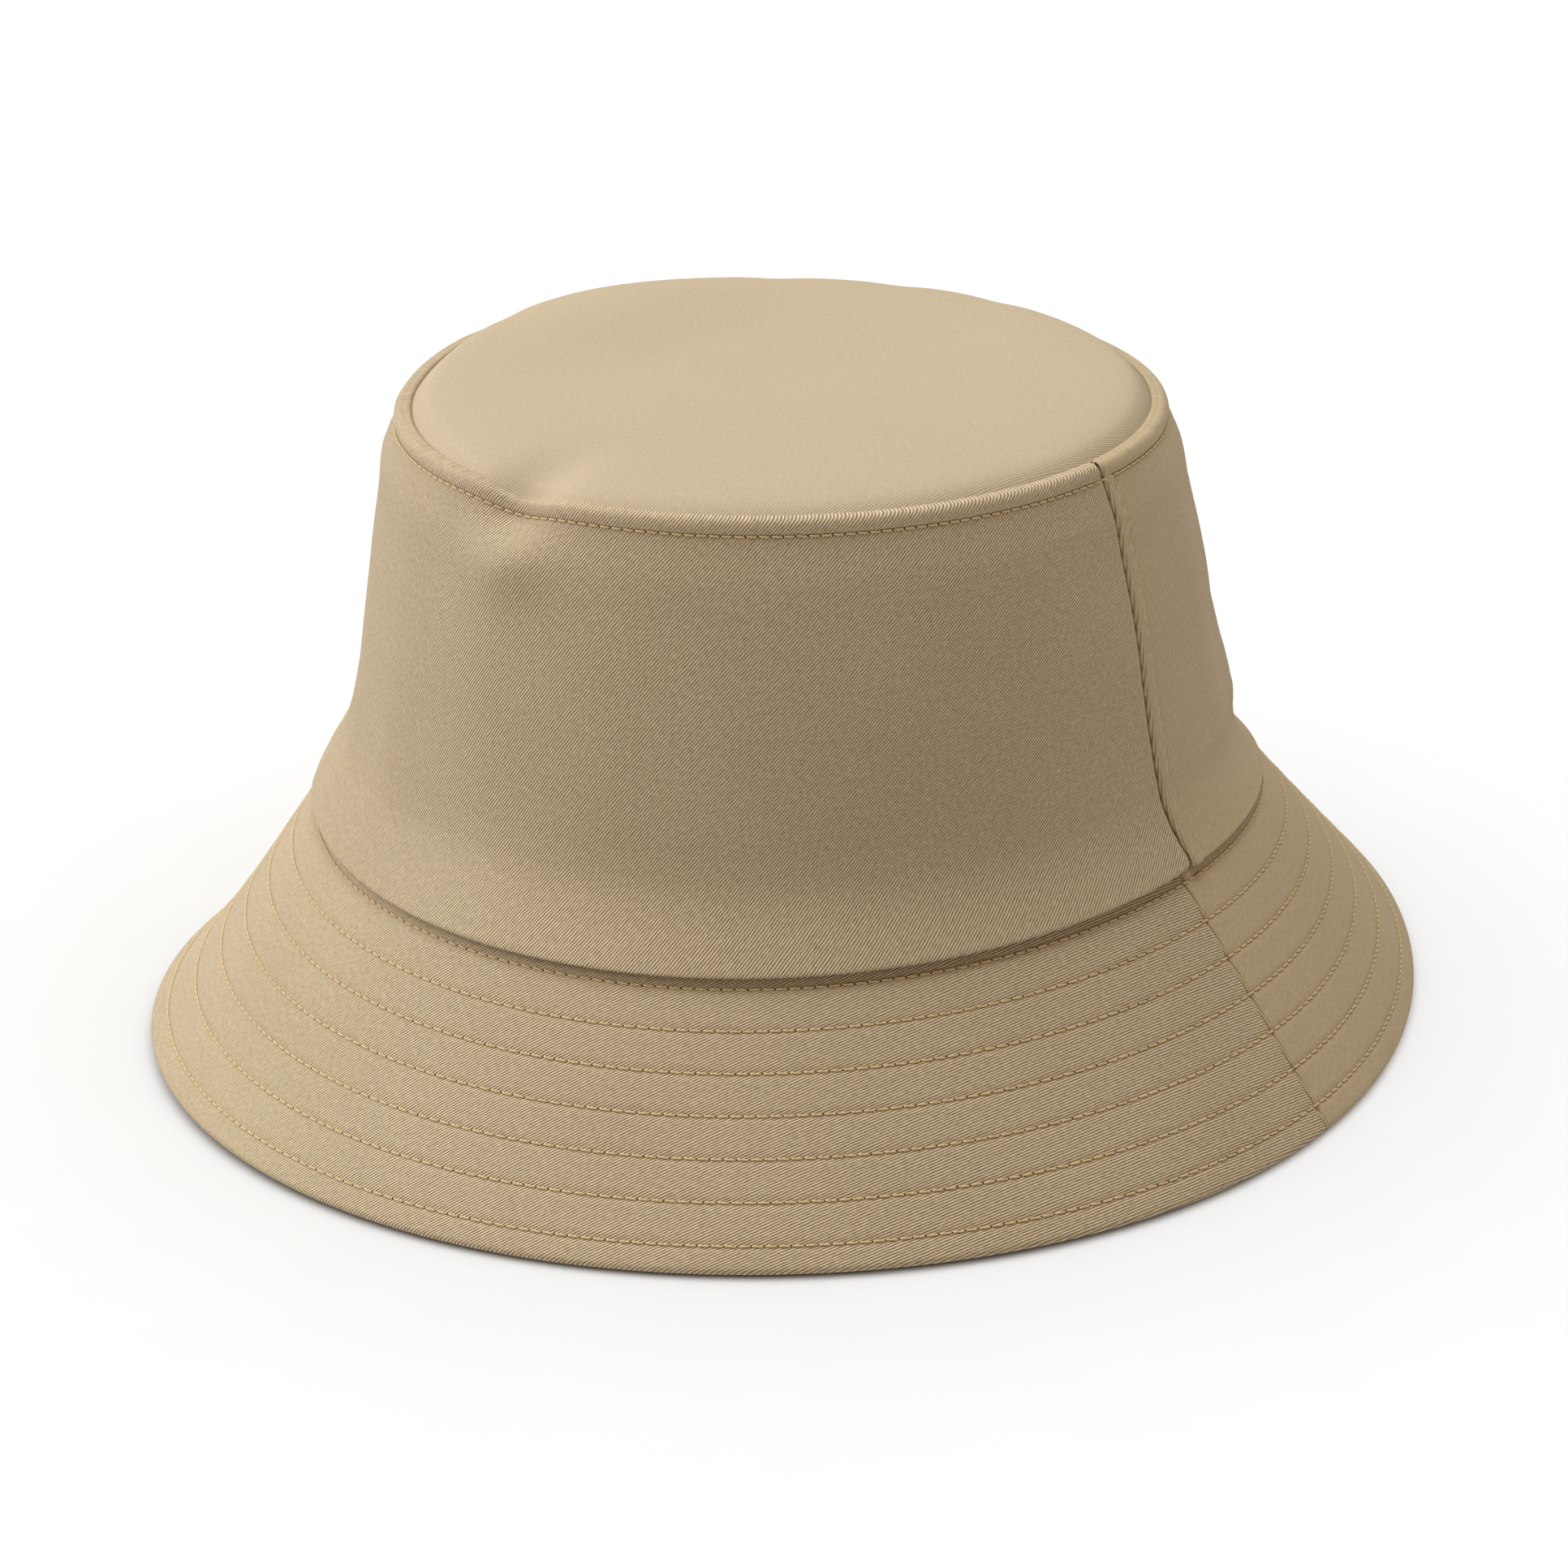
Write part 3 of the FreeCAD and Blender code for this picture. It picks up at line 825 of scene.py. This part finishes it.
for half in ("front", "back"):
    node = f"side_interlining_{half}"
    felt = layer_profile(TWILL + PLY_GAP + 0.2 * MM, 1.5 * MM, CROWN_HEIGHT - 2.2 * MM, 24)
    name = f"side_felt_{half}"
    crown_half(name, half, felt, INTERLINING, False, FELT_COLUMNS, STRAIGHT, FELT_CLOTH, "interlining", node)

# ---------------- crown: tip

# The tip's cloth: its dome, the rounding beside its seam, and how far the seam sinks.
TIP_DOME = 2.2 * MM
TIP_PILLOW = 1.9 * MM
TIP_SEAM_SINK = 0.8 * MM


def tip_grid(inset, sink, rings, columns):
    """Polar grid of an oval cloth, from the centre out to its seam, closest beside the seam."""
    near_seam = 1 - 0.07 * np.linspace(1, 0, 12)[1:] ** 1.5
    share = np.concatenate([np.linspace(0.0, 0.93, rings)[1:], near_seam])
    angle = np.linspace(0, 2 * math.pi, columns, endpoint=False)
    share, angle = np.meshgrid(share, angle, indexing="ij")
    x = (TIP[0] - inset) * share * np.cos(angle)
    y = TIP[2] + (TIP[1] - inset) * share * np.sin(angle)
    to_edge = (1 - share) * (TIP[0] + TIP[1]) / 2
    z = TIP[3] - sink + TIP_DOME * (1 - share**2) + TIP_PILLOW * (1 - np.exp(-to_edge / (3.0 * MM)))
    return np.stack([x, y, z], axis=-1)


def oval_cloth(name, inset, sink, thickness, rings, columns, wale_angle, material, slot, node):
    """A layer of the tip: an oval cloth, closed in the middle by a fan of triangles on each face."""
    top = tip_grid(inset, sink, rings, columns)
    bottom = top - np.array([0, 0, thickness])
    rows = len(top)
    verts, faces = shell_mesh(settle(top), settle(bottom), closed=True)
    inner_start = rows * columns
    hole_rim = np.isin(faces % inner_start, np.arange(columns)).all(axis=1)
    hole_rim &= (faces.min(axis=1) < columns) & (faces.max(axis=1) >= inner_start)
    middle = np.stack([top[0].mean(axis=0), bottom[0].mean(axis=0)])
    top_middle, bottom_middle = len(verts), len(verts) + 1
    verts = np.concatenate([verts, settle(middle)])
    ring = range(columns)
    following = [*ring[1:], 0]
    fan = [(top_middle, b, a) for a, b in zip(ring, following)]
    fan += [(bottom_middle, a + inner_start, b + inner_start) for a, b in zip(ring, following)]
    flat = turned(top[..., 0].ravel(), top[..., 1].ravel(), wale_angle)
    centre = turned(np.zeros(2), np.full(2, TIP[2]), wale_angle)
    cloth = np.concatenate([np.tile(flat, (2, 1)), centre])
    add_piece(name, node, verts, faces[~hole_rim], cloth, material, more=fan)


# How far each layer of the tip ends short of the crown's edge, how far it lies below the tip's top,
# and its rings of faces.
inset, sink, rings = 2.8 * MM, TIP_SEAM_SINK, 60
size = (inset, sink, TWILL, rings, TIP_COLUMNS, TIP_WALES)
# The tip takes the copy of the twill with painted even light from above.
oval_cloth("tip", *size, TWILL_TIP_PAINTED_LIGHT, "outer_twill", "crown_tip")
inset, sink, rings = 3.5 * MM, TIP_SEAM_SINK + 1.0 * MM, 16
size = (inset, sink, INTERLINING, rings, TIP_FELT_COLUMNS, STRAIGHT)
oval_cloth("tip_felt", *size, FELT_CLOTH, "interlining", "tip_interlining")

# ---------------- brim

ROW_SPAN = BRIM_SLANT - FIRST_ROW - LAST_ROW
ROW_SHARES = (FIRST_ROW + ROW_SPAN * np.arange(BRIM_ROWS) / (BRIM_ROWS - 1)) / BRIM_SLANT
# How deep and wide the dip along a sewn row is, and the under cloth's share of it.
ROW_DIP = 0.24 * MM
ROW_DIP_WIDTH = 0.75 * MM
UNDER_DIP = 0.8
# Distances from a row where the brim's grid has a line of its own, in mm.
ROW_LINES = (-2.4, -1.6, -1.1, -0.75, -0.5, -0.25, 0, 0.25, 0.5, 0.75, 1.1, 1.6, 2.4)


def brim_relief(slant):
    """Quilting of the brim: a dip along each sewn row."""
    relief = np.zeros_like(slant)
    for share in ROW_SHARES:
        relief -= ROW_DIP * hill(slant - share * BRIM_SLANT, ROW_DIP_WIDTH)
    return relief


def row_aware_slants(step):
    """Distances down the brim, closer beside each sewn row."""
    offsets = np.array(ROW_LINES) * MM
    rows = [share * BRIM_SLANT + offsets for share in ROW_SHARES]
    plain = np.arange(-2 * MM, BRIM_SLANT - 0.8 * MM, step)
    slants = np.unique(np.round(np.concatenate([plain] + rows), 6))
    slants = slants[(slants > -2 * MM) & (slants < BRIM_SLANT - 1.0 * MM)]
    keep = np.concatenate([[True], np.diff(slants) > 0.12 * MM])
    return slants[keep]


def turned_edge(turn):
    """(slant, out) points round the brim's edge, from its upper face (0) to its under face (pi)."""
    radius = BRIM_THICKNESS / 2
    slant = BRIM_SLANT - radius + radius * np.sin(turn)
    return np.stack([slant, -radius + radius * np.cos(turn)], axis=1)


def brim_profile():
    """(slant, out) samples of the upper cloth, over the turned edge to its middle."""
    slants = row_aware_slants(1.3 * MM)
    flat = np.stack([slants, brim_relief(slants)], axis=1)
    return np.vstack([flat, turned_edge(np.linspace(0, math.pi / 2, 9)[1:])])


def under_profile():
    """(slant, out) samples of the under cloth's visible face, from the middle of the edge inward."""
    slants = row_aware_slants(1.6 * MM)[::-1]
    slants = slants[slants > -1.5 * MM]
    flat = np.stack([slants, -BRIM_THICKNESS - brim_relief(slants) * UNDER_DIP], axis=1)
    return np.vstack([turned_edge(np.linspace(math.pi / 2, math.pi, 9)[:-1]), flat])


def profile_normals(profile):
    """Unit normals of a section curve, on the side that shows."""
    along = np.gradient(profile, axis=0)
    normal = np.stack([-along[:, 1], along[:, 0]], axis=1)
    return normal / np.linalg.norm(normal, axis=1, keepdims=True)


def brim_seam_relief(distance):
    """How far the brim's cloth stands out beside its side seam: a narrow groove."""
    return -0.55 * MM * hill(distance, 0.40 * MM)


def brim_half(name, half, profile, thickness, side, seam_detail, columns, material, slot, node):
    """One half of a brim layer. side is 1 where the cloth shows above, -1 where it shows below."""
    across = dense_ends(columns, girth(EDGE_ARC) / 2)
    share = profile[:, 0][:, None] / BRIM_SLANT + 0 * across[None]
    oval = blend_ovals(BRIM_TOP, EDGE, share)
    angle = half_angle(oval, BRIM_SEAM_Y, half, across[None])
    to_seam = np.minimum(across, 1 - across)[None] * girth(EDGE_ARC) / 2
    out = profile[:, 1][:, None] + 0 * across[None]
    face_out = out + side * brim_seam_relief(to_seam) if seam_detail else out
    face, _ = brim_point(angle, share, face_out)
    if seam_detail:
        normals = profile_normals(profile)
        back_share = (profile[:, 0] - normals[:, 0] * thickness)[:, None] / BRIM_SLANT + 0 * across[None]
        back_out = face_out - (normals[:, 1] * thickness)[:, None]
    else:
        back_share = share
        back_out = face_out - side * thickness
    back, _ = brim_point(angle, back_share, back_out)
    verts, faces = shell_mesh(settle(face), settle(back))
    if side > 0:
        faces = faces[:, ::-1]
    cloth = half_cloth(EDGE_ARC, BRIM_TOP_ARC, BRIM_SLANT, angle, 1 - share, half, BRIM_WALES * side)
    add_piece(name, node, verts, faces, cloth, material)


def stiffener_profile():
    """(slant, out) samples of the stiffener's upper face, well inside the brim's cloths."""
    slants = np.linspace(0, BRIM_SLANT - 2.2 * MM, 20)
    return np.stack([slants, np.full(len(slants), -(TWILL + PLY_GAP) - 0.15 * MM)], axis=1)


# The stiffener is thinner than the CAD's, so that the dips along the rows miss it.
THIN_STIFFENER = 0.25 * MM
for half in ("front", "back"):
    # The brim halves take the front and back copies of the twill, with painted shade.
    twill_finish = (LIT_AND_SHADED_TWILLS[half], "outer_twill")
    above = (TWILL, 1, True, BRIM_COLUMNS, *twill_finish, f"brim_upper_{half}")
    brim_half(f"brim_{half}", half, brim_profile(), *above)
    below = (TWILL, -1, True, UNDER_COLUMNS, *twill_finish, f"brim_under_{half}")
    brim_half(f"underbrim_{half}", half, under_profile(), *below)
for half in ("front", "back"):
    finish = (FELT_CLOTH, "brim_stiffener", f"brim_stiffener_{half}")
    plain = stiffener_profile()
    brim_half(f"stiffener_{half}", half, plain, THIN_STIFFENER, 1, False, STIFFENER_COLUMNS, *finish)

# ---------------- inside: lining, sweatband

LINING_DEPTH = TWILL + INTERLINING + 2 * PLY_GAP
for half in ("front", "back"):
    inside = layer_profile(LINING_DEPTH + 0.4 * MM, 0.4 * MM, CROWN_HEIGHT - 3.2 * MM, 40)
    finish = (LINING_COLUMNS, STRAIGHT, LINING_CLOTH, "lining", f"lining_side_{half}")
    crown_half(f"lining_{half}", half, inside, LINING, False, *finish)
inset, sink, rings = 2.1 * MM, TIP_SEAM_SINK + 1.9 * MM, 24
size = (inset, sink, LINING, rings, LINING_COLUMNS, STRAIGHT)
oval_cloth("lining_top", *size, LINING_CLOTH, "lining", "lining_tip")

BAND_DEPTH = LINING_DEPTH + LINING + PLY_GAP + 0.5 * MM


def add_sweatband():
    """A closed band round the inside of the crown's foot, with rounded edges."""
    tall = band_high[2] - band_low[2]
    edge = np.array([0.0, 0.3, 0.8, 1.6]) * MM
    heights = np.concatenate([edge, np.linspace(3 * MM, tall - 3 * MM, 26), tall - edge[::-1]])
    rounding = np.clip(np.minimum(heights, tall - heights) / (0.8 * MM), 0.05, 1)
    half_thick = SWEATBAND / 2 * np.sqrt(1 - (1 - rounding) ** 2) * 0.95
    angle = np.linspace(0, 2 * math.pi, BAND_COLUMNS, endpoint=False)[None] + 0 * heights[:, None]
    height = (heights + 0.1 * MM)[:, None] + 0 * angle
    outer = (half_thick - BAND_DEPTH - SWEATBAND / 2)[:, None] + 0 * angle
    inner = outer - 2 * half_thick[:, None]
    faces_of = [settle(crown_point(angle, height, out)) for out in (outer, inner)]
    verts, faces = shell_mesh(*faces_of, closed=True)
    around = np.interp(angle, ARC_ANGLES, BASE_ARC)
    cloth = np.tile(turned(around, height, BAND_WALES).reshape(-1, 2), (2, 1))
    add_piece("sweatband_ring", "sweatband", verts, faces, cloth, BAND_CLOTH)


add_sweatband()

# ---------------- stitches

STITCH_RINGS = 9
STITCH_SIDES = 6
STITCH_LIFT = 0.12 * MM
HOLE_SIDES = 8
THREAD_RADIUS = 0.2 * MM
HOLE_RADIUS = 0.24 * MM
# How far below the plain wall the threads of the crown's edge and of the side seams lie.
EDGE_ROW_SINK = 0.24 * MM
SIDE_ROW_SINK = 0.33 * MM


def stitches(needle, normals, closed):
    """Single stitches from hole to hole: each rises out of one hole, lies flat, and dives into the next."""
    count = len(needle) if closed else len(needle) - 1
    start = needle[:count]
    end = np.roll(needle, -1, axis=0)[:count] if closed else needle[1:]
    up = normals[:count]
    along = end - start
    aside = np.cross(along, up)
    aside /= np.linalg.norm(aside, axis=1, keepdims=True)
    t = np.linspace(0, 1, STITCH_RINGS)
    place = 0.01 + 0.98 * t
    rise = (STITCH_LIFT + THREAD_RADIUS) * (1 - np.abs(2 * t - 1) ** 7) - 0.9 * THREAD_RADIUS
    slant = chance.normal(0, 0.03 * MM, count)[:, None] + 0.05 * MM
    tight = 1 + chance.normal(0, 0.05, count)[:, None]
    centre = start[:, None] + along[:, None] * place[None, :, None]
    centre = centre + up[:, None] * (rise[None] * tight)[..., None]
    centre = centre + aside[:, None] * (slant * (2 * t - 1)[None])[..., None]
    thick = THREAD_RADIUS * np.clip(1 - np.abs(2 * t - 1) ** 8, 0.4, 1)
    turn = np.linspace(0, 2 * math.pi, STITCH_SIDES, endpoint=False)
    across = aside[:, None, None] * np.cos(turn)[None, None, :, None]
    ring = across + up[:, None, None] * np.sin(turn)[None, None, :, None]
    verts = centre[:, :, None] + ring * (thick[None, :, None, None])
    one = grid_faces(STITCH_RINGS, STITCH_SIDES, closed=True)
    size = STITCH_RINGS * STITCH_SIDES
    faces = (one[None] + (np.arange(count) * size)[:, None, None]).reshape(-1, 4)
    return verts.reshape(-1, 3), faces


def needle_holes(needle, normals, closed):
    """A small dark dip in the cloth where each stitch goes through; its dark colour is painted shade for the
    needle hole.
    """
    before = np.roll(needle, 1, axis=0)
    after = np.roll(needle, -1, axis=0)
    if not closed:
        before[0] = needle[0]
        after[-1] = needle[-1]
    along = after - before
    along /= np.linalg.norm(along, axis=1, keepdims=True)
    aside = np.cross(along, normals)
    turn = np.linspace(0, 2 * math.pi, HOLE_SIDES, endpoint=False)
    rim = along[:, None] * np.cos(turn)[None, :, None] * 0.8
    rim = rim + aside[:, None] * np.sin(turn)[None, :, None]
    rim = needle[:, None] + rim * HOLE_RADIUS + normals[:, None] * 0.05 * MM
    middle = needle[:, None] + normals[:, None] * 0.02 * MM
    verts = np.concatenate([rim, middle], axis=1)
    size = HOLE_SIDES + 1
    ring = np.arange(HOLE_SIDES)
    one = np.stack([ring, np.roll(ring, -1), np.full(HOLE_SIDES, HOLE_SIDES)], axis=1)
    faces = (one[None] + (np.arange(len(needle)) * size)[:, None, None]).reshape(-1, 3)
    return verts.reshape(-1, 3), faces


def ring_holes(arc, pitch):
    """Angles of evenly spaced needle holes once round an oval."""
    total = girth(arc)
    count = int(round(total / pitch))
    lengths = np.arange(count) * total / count
    return np.interp(lengths, arc[: TURN + 1] - arc[0], ARC_ANGLES[: TURN + 1])


def sewn_piece(name, rows, node):
    """One sewn row: rows holds (needle points, normals, closed) for each side it shows on."""
    verts, faces, cloth, dark = [], [], [], []
    start = 0
    for needle, normals, closed in rows:
        for make in (stitches, needle_holes):
            part_verts, part_faces = make(needle, normals, closed)
            number = np.arange(len(part_verts))
            if make is stitches:
                size = STITCH_RINGS * STITCH_SIDES
                in_stitch = (number % size) // STITCH_SIDES / (STITCH_RINGS - 1)
                along = (in_stitch + number // size) * STITCH_PITCH
                around = (number % STITCH_SIDES) / STITCH_SIDES
            else:
                along = number * 0.1 * MM
                around = 0.0 * number
            cloth.append(np.stack([along, around], axis=-1))
            verts.append(part_verts)
            faces += (part_faces + start).tolist()
            dark += [make is needle_holes] * len(part_faces)
            start += len(part_verts)
    mesh_verts = np.concatenate(verts)
    flat = np.concatenate(cloth)
    no_quads = np.zeros((0, 4), int)
    piece = add_piece(name, node, mesh_verts, no_quads, flat, THREAD, more=faces)
    # The needle holes' faces take the painted hole shade.
    piece.data.materials.append(HOLE_SHADE)
    piece.data.polygons.foreach_set("material_index", np.array(dark, dtype=np.int32))


for number, share in enumerate(ROW_SHARES, start=1):
    row_arc = arc_table(blend_ovals(BRIM_TOP, EDGE, share))
    angles = ring_holes(row_arc, STITCH_PITCH)
    shares = np.full(len(angles), share)
    dip = float(brim_relief(np.array([share * BRIM_SLANT]))[0])
    above, normal = brim_point(angles, shares, np.full(len(angles), dip))
    below, _ = brim_point(angles, shares, np.full(len(angles), -BRIM_THICKNESS - dip * UNDER_DIP))
    rows = [(settle(above), normal, True), (settle(below), -normal, True)]
    sewn_piece(f"brim_row_{number}", rows, f"brim_stitch_{number}")


def crown_ring(height, out, pitch, facing):
    """A row of needle points and normals all round the crown's wall, for sewn_piece."""
    oval = blend_ovals(BASE, TIP, height / CROWN_HEIGHT)
    arc = arc_table(oval)
    angles = ring_holes(arc, pitch)
    count = len(angles)
    needle = crown_point(angles, np.full(count, height), np.full(count, out))
    return settle(needle), facing * plan_normal(np.broadcast_to(oval, (count, 4)), angles), True


crown_row = crown_ring(CROWN_HEIGHT - CROWN_STITCH_DROP, -EDGE_ROW_SINK, CROWN_STITCH_PITCH, 1)
sewn_piece("crown_edge_row", [crown_row], "crown_edge_stitch")

for side, side_name in ((1, "left"), (-1, "right")):
    count = int((CROWN_HEIGHT - 6.5 * MM) / STITCH_PITCH)
    heights = np.linspace(1.6 * MM, CROWN_HEIGHT - 4.0 * MM, count)
    ovals = blend_ovals(BASE, TIP, heights / CROWN_HEIGHT)
    behind = seam_angle(ovals, CROWN_SEAM_Y) + SIDE_STITCH_BACK / ovals[:, 1]
    angles = behind if side > 0 else math.pi - behind
    wall_out = np.interp(heights, wall_profile()[:, 1], wall_profile()[:, 0])
    line = crown_point(angles, heights, wall_out - SIDE_ROW_SINK)
    rows = [(settle(line), plan_normal(ovals, angles), False)]
    sewn_piece(f"side_row_{side_name}", rows, f"side_stitch_{side_name}")

band_row = crown_ring(2.3 * MM, -(BAND_DEPTH + SWEATBAND - 0.03 * MM), SWEATBAND_STITCH_PITCH, -1)
sewn_piece("sweatband_row", [band_row], "sweatband_stitch")

# ---------------- labels


def soft_patch(name, x_low, x_high, z_low, z_high, node):
    """A small woven label that lies on the back of the sweatband, with turned ends."""
    columns = np.linspace(x_low, x_high, 40)
    rows = np.linspace(z_low, z_high, 16)
    height = rows[:, None] - BASE[3] + 0 * columns[None]
    oval = blend_ovals(BASE, TIP, height / CROWN_HEIGHT)
    angle = np.arccos(np.clip((columns[None] + 0 * height) / oval[..., 0], -1, 1))
    edge = np.minimum(rows - z_low, z_high - rows)[:, None]
    edge = np.minimum(edge, np.minimum(columns - x_low, x_high - columns)[None])
    puff = 0.25 * MM * smooth(edge / (1.2 * MM)) + 0.12 * MM * hill(edge - 0.6 * MM, 0.5 * MM)
    band_face = -(BAND_DEPTH + SWEATBAND)
    face = settle(crown_point(angle, height, band_face - 0.05 * MM - puff))
    back = settle(crown_point(angle, height, band_face - 0.02 * MM + 0 * puff))
    verts, faces = shell_mesh(back, face)
    flat = np.stack([columns[None] + 0 * height, height], axis=-1).reshape(-1, 2)
    add_piece(name, node, verts, faces, np.tile(flat, (2, 1)), LABEL_CLOTH)


for piece_name, node in (("blank_label", "brand_label"), ("size_loop", "size_tab")):
    low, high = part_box(node)
    soft_patch(piece_name, low[0], high[0], low[2], high[2], node)


def care_flap():
    """The care label: satin that bows and curls a little."""
    low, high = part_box("care_label")
    columns = np.linspace(low[1], high[1], 30)
    rows = np.linspace(high[2], low[2] + 0.3 * MM, 40)
    drop = (high[2] - rows)[:, None] + 0 * columns[None]
    side = (columns - (low[1] + high[1]) / 2)[None] + 0 * drop
    share = drop / (high[2] - low[2])
    bow = 0.9 * MM * np.sin(math.pi * share) + 0.5 * MM * (side / (high[1] - low[1]) * 2) ** 2 * share
    x = (low[0] + high[0]) / 2 + bow - 0.4 * MM * share**2
    y = columns[None] + 0 * drop
    z = rows[:, None] + 0 * drop
    outer = np.stack([x + 0.2 * MM, y, z], axis=-1)
    inner = np.stack([x - 0.2 * MM, y, z], axis=-1)
    verts, faces = shell_mesh(outer, inner)
    flat = np.tile(np.stack([y, z], axis=-1).reshape(-1, 2), (2, 1))
    label = "care_label"
    piece = add_piece("care_flap", label, verts, faces[:, ::-1], flat, LABEL_CLOTH, body=label)


care_flap()

# ---------------- floor, light and camera


def add_floor():
    """A plain pale floor that runs past every view's horizon."""
    mesh = bpy.data.meshes.new("floor")
    reach = 30.0
    corners = [(-reach, -reach, 0), (reach, -reach, 0), (reach, reach, 0), (-reach, reach, 0)]
    mesh.from_pydata(corners, [], [(0, 1, 2, 3)])
    floor = bpy.data.objects.new("floor", mesh)
    bpy.context.scene.collection.objects.link(floor)
    g = Graph("pale_floor")
    grain = g.noise(g.node("ShaderNodeNewGeometry").outputs["Position"], 40.0, 2.0)
    colour = g.mix(grain, (0.93, 0.93, 0.93, 1), (0.95, 0.95, 0.95, 1))
    mesh.materials.append(g.surface({"Base Color": colour, "Roughness": 0.9}))


def add_light(name, azimuth, elevation, softness, strength, colour):
    """Very large soft lamp, far off at an azimuth and elevation in degrees."""
    light = bpy.data.lights.new(name, "SUN")
    light.angle = math.radians(softness)
    light.energy = strength
    light.color = colour
    lamp = bpy.data.objects.new(name, light)
    turn, rise = math.radians(azimuth), math.radians(elevation)
    direction = Vector((math.cos(turn) * math.cos(rise), math.sin(turn) * math.cos(rise), math.sin(rise)))
    lamp.location = direction * 2.0
    lamp.rotation_euler = direction.to_track_quat("Z", "Y").to_euler()
    bpy.context.scene.collection.objects.link(lamp)


def link_to_floor(lamp_name, state):
    """Lets a lamp light only the floor (INCLUDE) or all but the floor (EXCLUDE), as a flag does."""
    lit = bpy.data.collections.new(f"{lamp_name}_flag")
    lit.objects.link(bpy.data.objects["floor"])
    lit.collection_objects[0].light_linking.link_state = state
    bpy.data.objects[lamp_name].light_linking.receiver_collection = lit


def add_world(strength, colour):
    """Even light from all round, which fills the shadows."""
    world = bpy.data.worlds.new("studio")
    world.use_nodes = True
    background = world.node_tree.nodes["Background"]
    background.inputs["Color"].default_value = (*colour, 1)
    background.inputs["Strength"].default_value = strength
    bpy.context.scene.world = world


def add_camera():
    """Long lens, from the front left of the wearer and a little above."""
    azimuth = math.radians(35.98)
    rise = math.radians(22.36)
    roll = math.radians(-0.57)
    target = Vector((-0.0053, 0.0067, 0.0380))
    distance = 1.0
    back = Vector((math.sin(azimuth) * math.cos(rise), -math.cos(azimuth) * math.cos(rise), math.sin(rise)))
    right = Vector((math.cos(azimuth), math.sin(azimuth), 0))
    up = back.cross(right)
    side = right * math.cos(roll) + up * math.sin(roll)
    top = up * math.cos(roll) - right * math.sin(roll)
    data = bpy.data.cameras.new("camera")
    data.sensor_width = 36.0
    data.lens = 116.7
    camera = bpy.data.objects.new("camera", data)
    facing = Matrix((side, top, back)).transposed().to_4x4()
    camera.matrix_world = Matrix.Translation(target + back * distance) @ facing
    bpy.context.scene.collection.objects.link(camera)
    bpy.context.scene.camera = camera


add_floor()
add_light("key", 205, 42, 60, 3.2, (0.94, 0.98, 1.0))
add_light("top", 105, 80, 40, 2.25, (0.87, 0.97, 1.0))
add_light("floor_lamp", 126, 88, 130, 3.12, (0.83, 0.925, 1.0))
link_to_floor("key", "EXCLUDE")
link_to_floor("top", "EXCLUDE")
link_to_floor("floor_lamp", "INCLUDE")
add_world(0.28, (1.0, 0.66, 0.38))
add_camera()
bpy.context.scene.view_settings.view_transform = "Standard"
